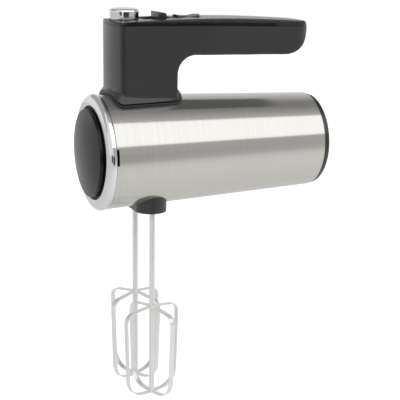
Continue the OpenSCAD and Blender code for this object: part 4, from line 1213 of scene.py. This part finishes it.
def makeSpring(name):
    look = springLook[name]
    low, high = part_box(look["node"])
    wire = look["wire"] * mm
    radius = (high.x - low.x) / 2 - wire
    dropSelection()
    bpy.ops.mesh.primitive_circle_add(vertices=springLook["ring"], radius=wire, rotation=(quarter, 0, 0))
    piece = bpy.context.object
    bakePlace(piece)
    editOn(piece)
    selectAll()
    bpy.ops.transform.translate(value=(radius, 0, 0))
    editOff()
    piece.location = ((low.x + high.x) / 2, (low.y + high.y) / 2, low.z + wire)
    shapeWith(piece, "SCREW", axis="Z", angle=2 * math.pi, iterations=springLook["turns"],
              screw_offset=(high.z - low.z - 2 * wire) / springLook["turns"],
              steps=springLook["steps"], render_steps=springLook["steps"])
    closeHoles(piece)
    smoothShade(piece)
    placePiece(piece, name, "housing", "ground_steel", look["node"])
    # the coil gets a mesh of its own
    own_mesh(piece)
    return piece


makeKnob()
makeThumb()
makeTurbo()
makeSpring("ejectSpring")
makeSpring("turboSpring")

# beaters: two bent strip loops crossed on a shaft

beaterLook = {
    "along": 36, "side": 19, "top": -120.5, "bottom": -193.5, "reach": 25.8, "pull": 1.8,
    "topBend": 8, "topFall": 2.2, "footBend": 15, "footRise": 0.6, "stripWide": 4.4, "stripThick": 0.9,
    "shaft": 2.2, "shaftTop": 5.5, "shaftRound": 0.8, "sink": 0.2, "edge": 0.24,
    "overlap": 3, "tiltShare": 0.98, "turnNear": 18.4, "turnFar": 26.6,
    # flat ears on the shaft, by which the spindle turns it
    "earFoot": -42.2, "earHigh": 5.2, "earWide": 8, "earThick": 1.4,
}


def bendStrip(centre, degrees, steps):
    bpy.ops.mesh.spin(steps=steps, angle=-math.radians(degrees), center=spot(centre[0], 0, centre[1]),
                      axis=(0, 1, 0))


def stripLoop():
    # half of the loop from the top run round both bends, then its twin
    look = beaterLook
    half = look["stripThick"] / 2
    topAt = (look["reach"] - look["topBend"], look["top"] - look["topFall"] - look["topBend"])
    footAt = (look["reach"] - look["pull"] - look["footBend"],
              look["bottom"] + look["footBend"] + look["footRise"])
    topTilt = math.asin(look["topFall"] / topAt[0] * look["tiltShare"])
    lean = math.atan2(topAt[0] + look["topBend"] - footAt[0] - look["footBend"], topAt[1] - footAt[1])
    footTilt = math.asin(look["footRise"] / footAt[0] * look["tiltShare"])
    topMid, footMid = look["topBend"] - half, look["footBend"] - half
    run = topAt[0] / math.cos(topTilt) + look["overlap"]
    dropSelection()
    bpy.ops.mesh.primitive_cube_add(size=1, location=spot(topAt[0], 0, topAt[1]))
    strip = bpy.context.object
    strip.scale = (run * mm, look["stripWide"] * mm, look["stripThick"] * mm)
    strip.rotation_euler = (0, topTilt, 0)
    out = Vector((math.sin(topTilt), 0, math.cos(topTilt)))
    back = Vector((-math.cos(topTilt), 0, math.sin(topTilt)))
    strip.location += out * topMid * mm + back * run / 2 * mm
    bakePlace(strip)
    editOn(strip)
    pick(strip, "FACE", lambda f: f.normal.dot(-back) > 0.99)
    bendStrip(topAt, 90 - math.degrees(topTilt) + math.degrees(lean), 14)
    side = topAt[0] + topMid * math.cos(lean) - footAt[0] - footMid * math.cos(lean)
    drop = topAt[1] - topMid * math.sin(lean) - footAt[1] + footMid * math.sin(lean)
    pullOut((-side * mm, 0, -drop * mm))
    bendStrip(footAt, 90 - math.degrees(lean) - math.degrees(footTilt), 18)
    last = footAt[0] + look["overlap"]
    pullOut((-last * mm, 0, -last * math.tan(footTilt) * mm))
    selectAll()
    bpy.ops.mesh.bisect(plane_co=spot(0, 0, 0), plane_no=(1, 0, 0), clear_inner=True)
    mergeMesh()
    # the twin is made across the joint's place, which is the mirror here
    strip.location.x = -joinX
    bakePlace(strip)
    shapeWith(strip, "MIRROR", use_axis=(True, False, False), use_clip=True, merge_threshold=0.01 * mm)
    return strip


def onShaft(up):
    # the shaft is made round the frame's upright axis and moved later
    return Vector((0, 0, spot(0, 0, up).z))


def makeBeater(name, nodeName, body, side, phase):
    look = beaterLook
    first = stripLoop()
    focusOn(first)
    bpy.ops.object.duplicate()
    second = bpy.context.object
    second.rotation_euler = (0, 0, quarter)
    bakePlace(second)
    stem = startRod(look["shaft"], onShaft(look["bottom"] - look["sink"]), onShaft(look["shaftTop"]), 48)
    editOn(stem)
    roundEdges(stem, lambda e: all(v.co.z > onShaft(look["shaftTop"] - 0.5).z for v in e.verts),
               look["shaftRound"], 3)
    editOff()
    earHalf = Vector((look["earWide"] / 2, look["earThick"] / 2, 0)) * mm
    ears = startBlock(onShaft(look["earFoot"]) - earHalf,
                      onShaft(look["earFoot"] + look["earHigh"]) + earHalf)
    piece = joinAll([first, second, ears])
    softEdges(piece, look["edge"], 3, 40)
    piece = joinAll([piece, stem])
    piece.rotation_euler = (0, 0, math.radians(phase))
    bakePlace(piece)
    piece.location = spot(look["along"], side, 0) - Vector((0, 0, barrelAxis))
    smoothShade(piece)
    return placePiece(piece, name, body, "beater_steel", nodeName)


makeBeater("beaterNear", "beater_left", "beater_near", -beaterLook["side"], beaterLook["turnNear"])
makeBeater("beaterFar", "beater_right", "beater_far", beaterLook["side"], beaterLook["turnFar"])
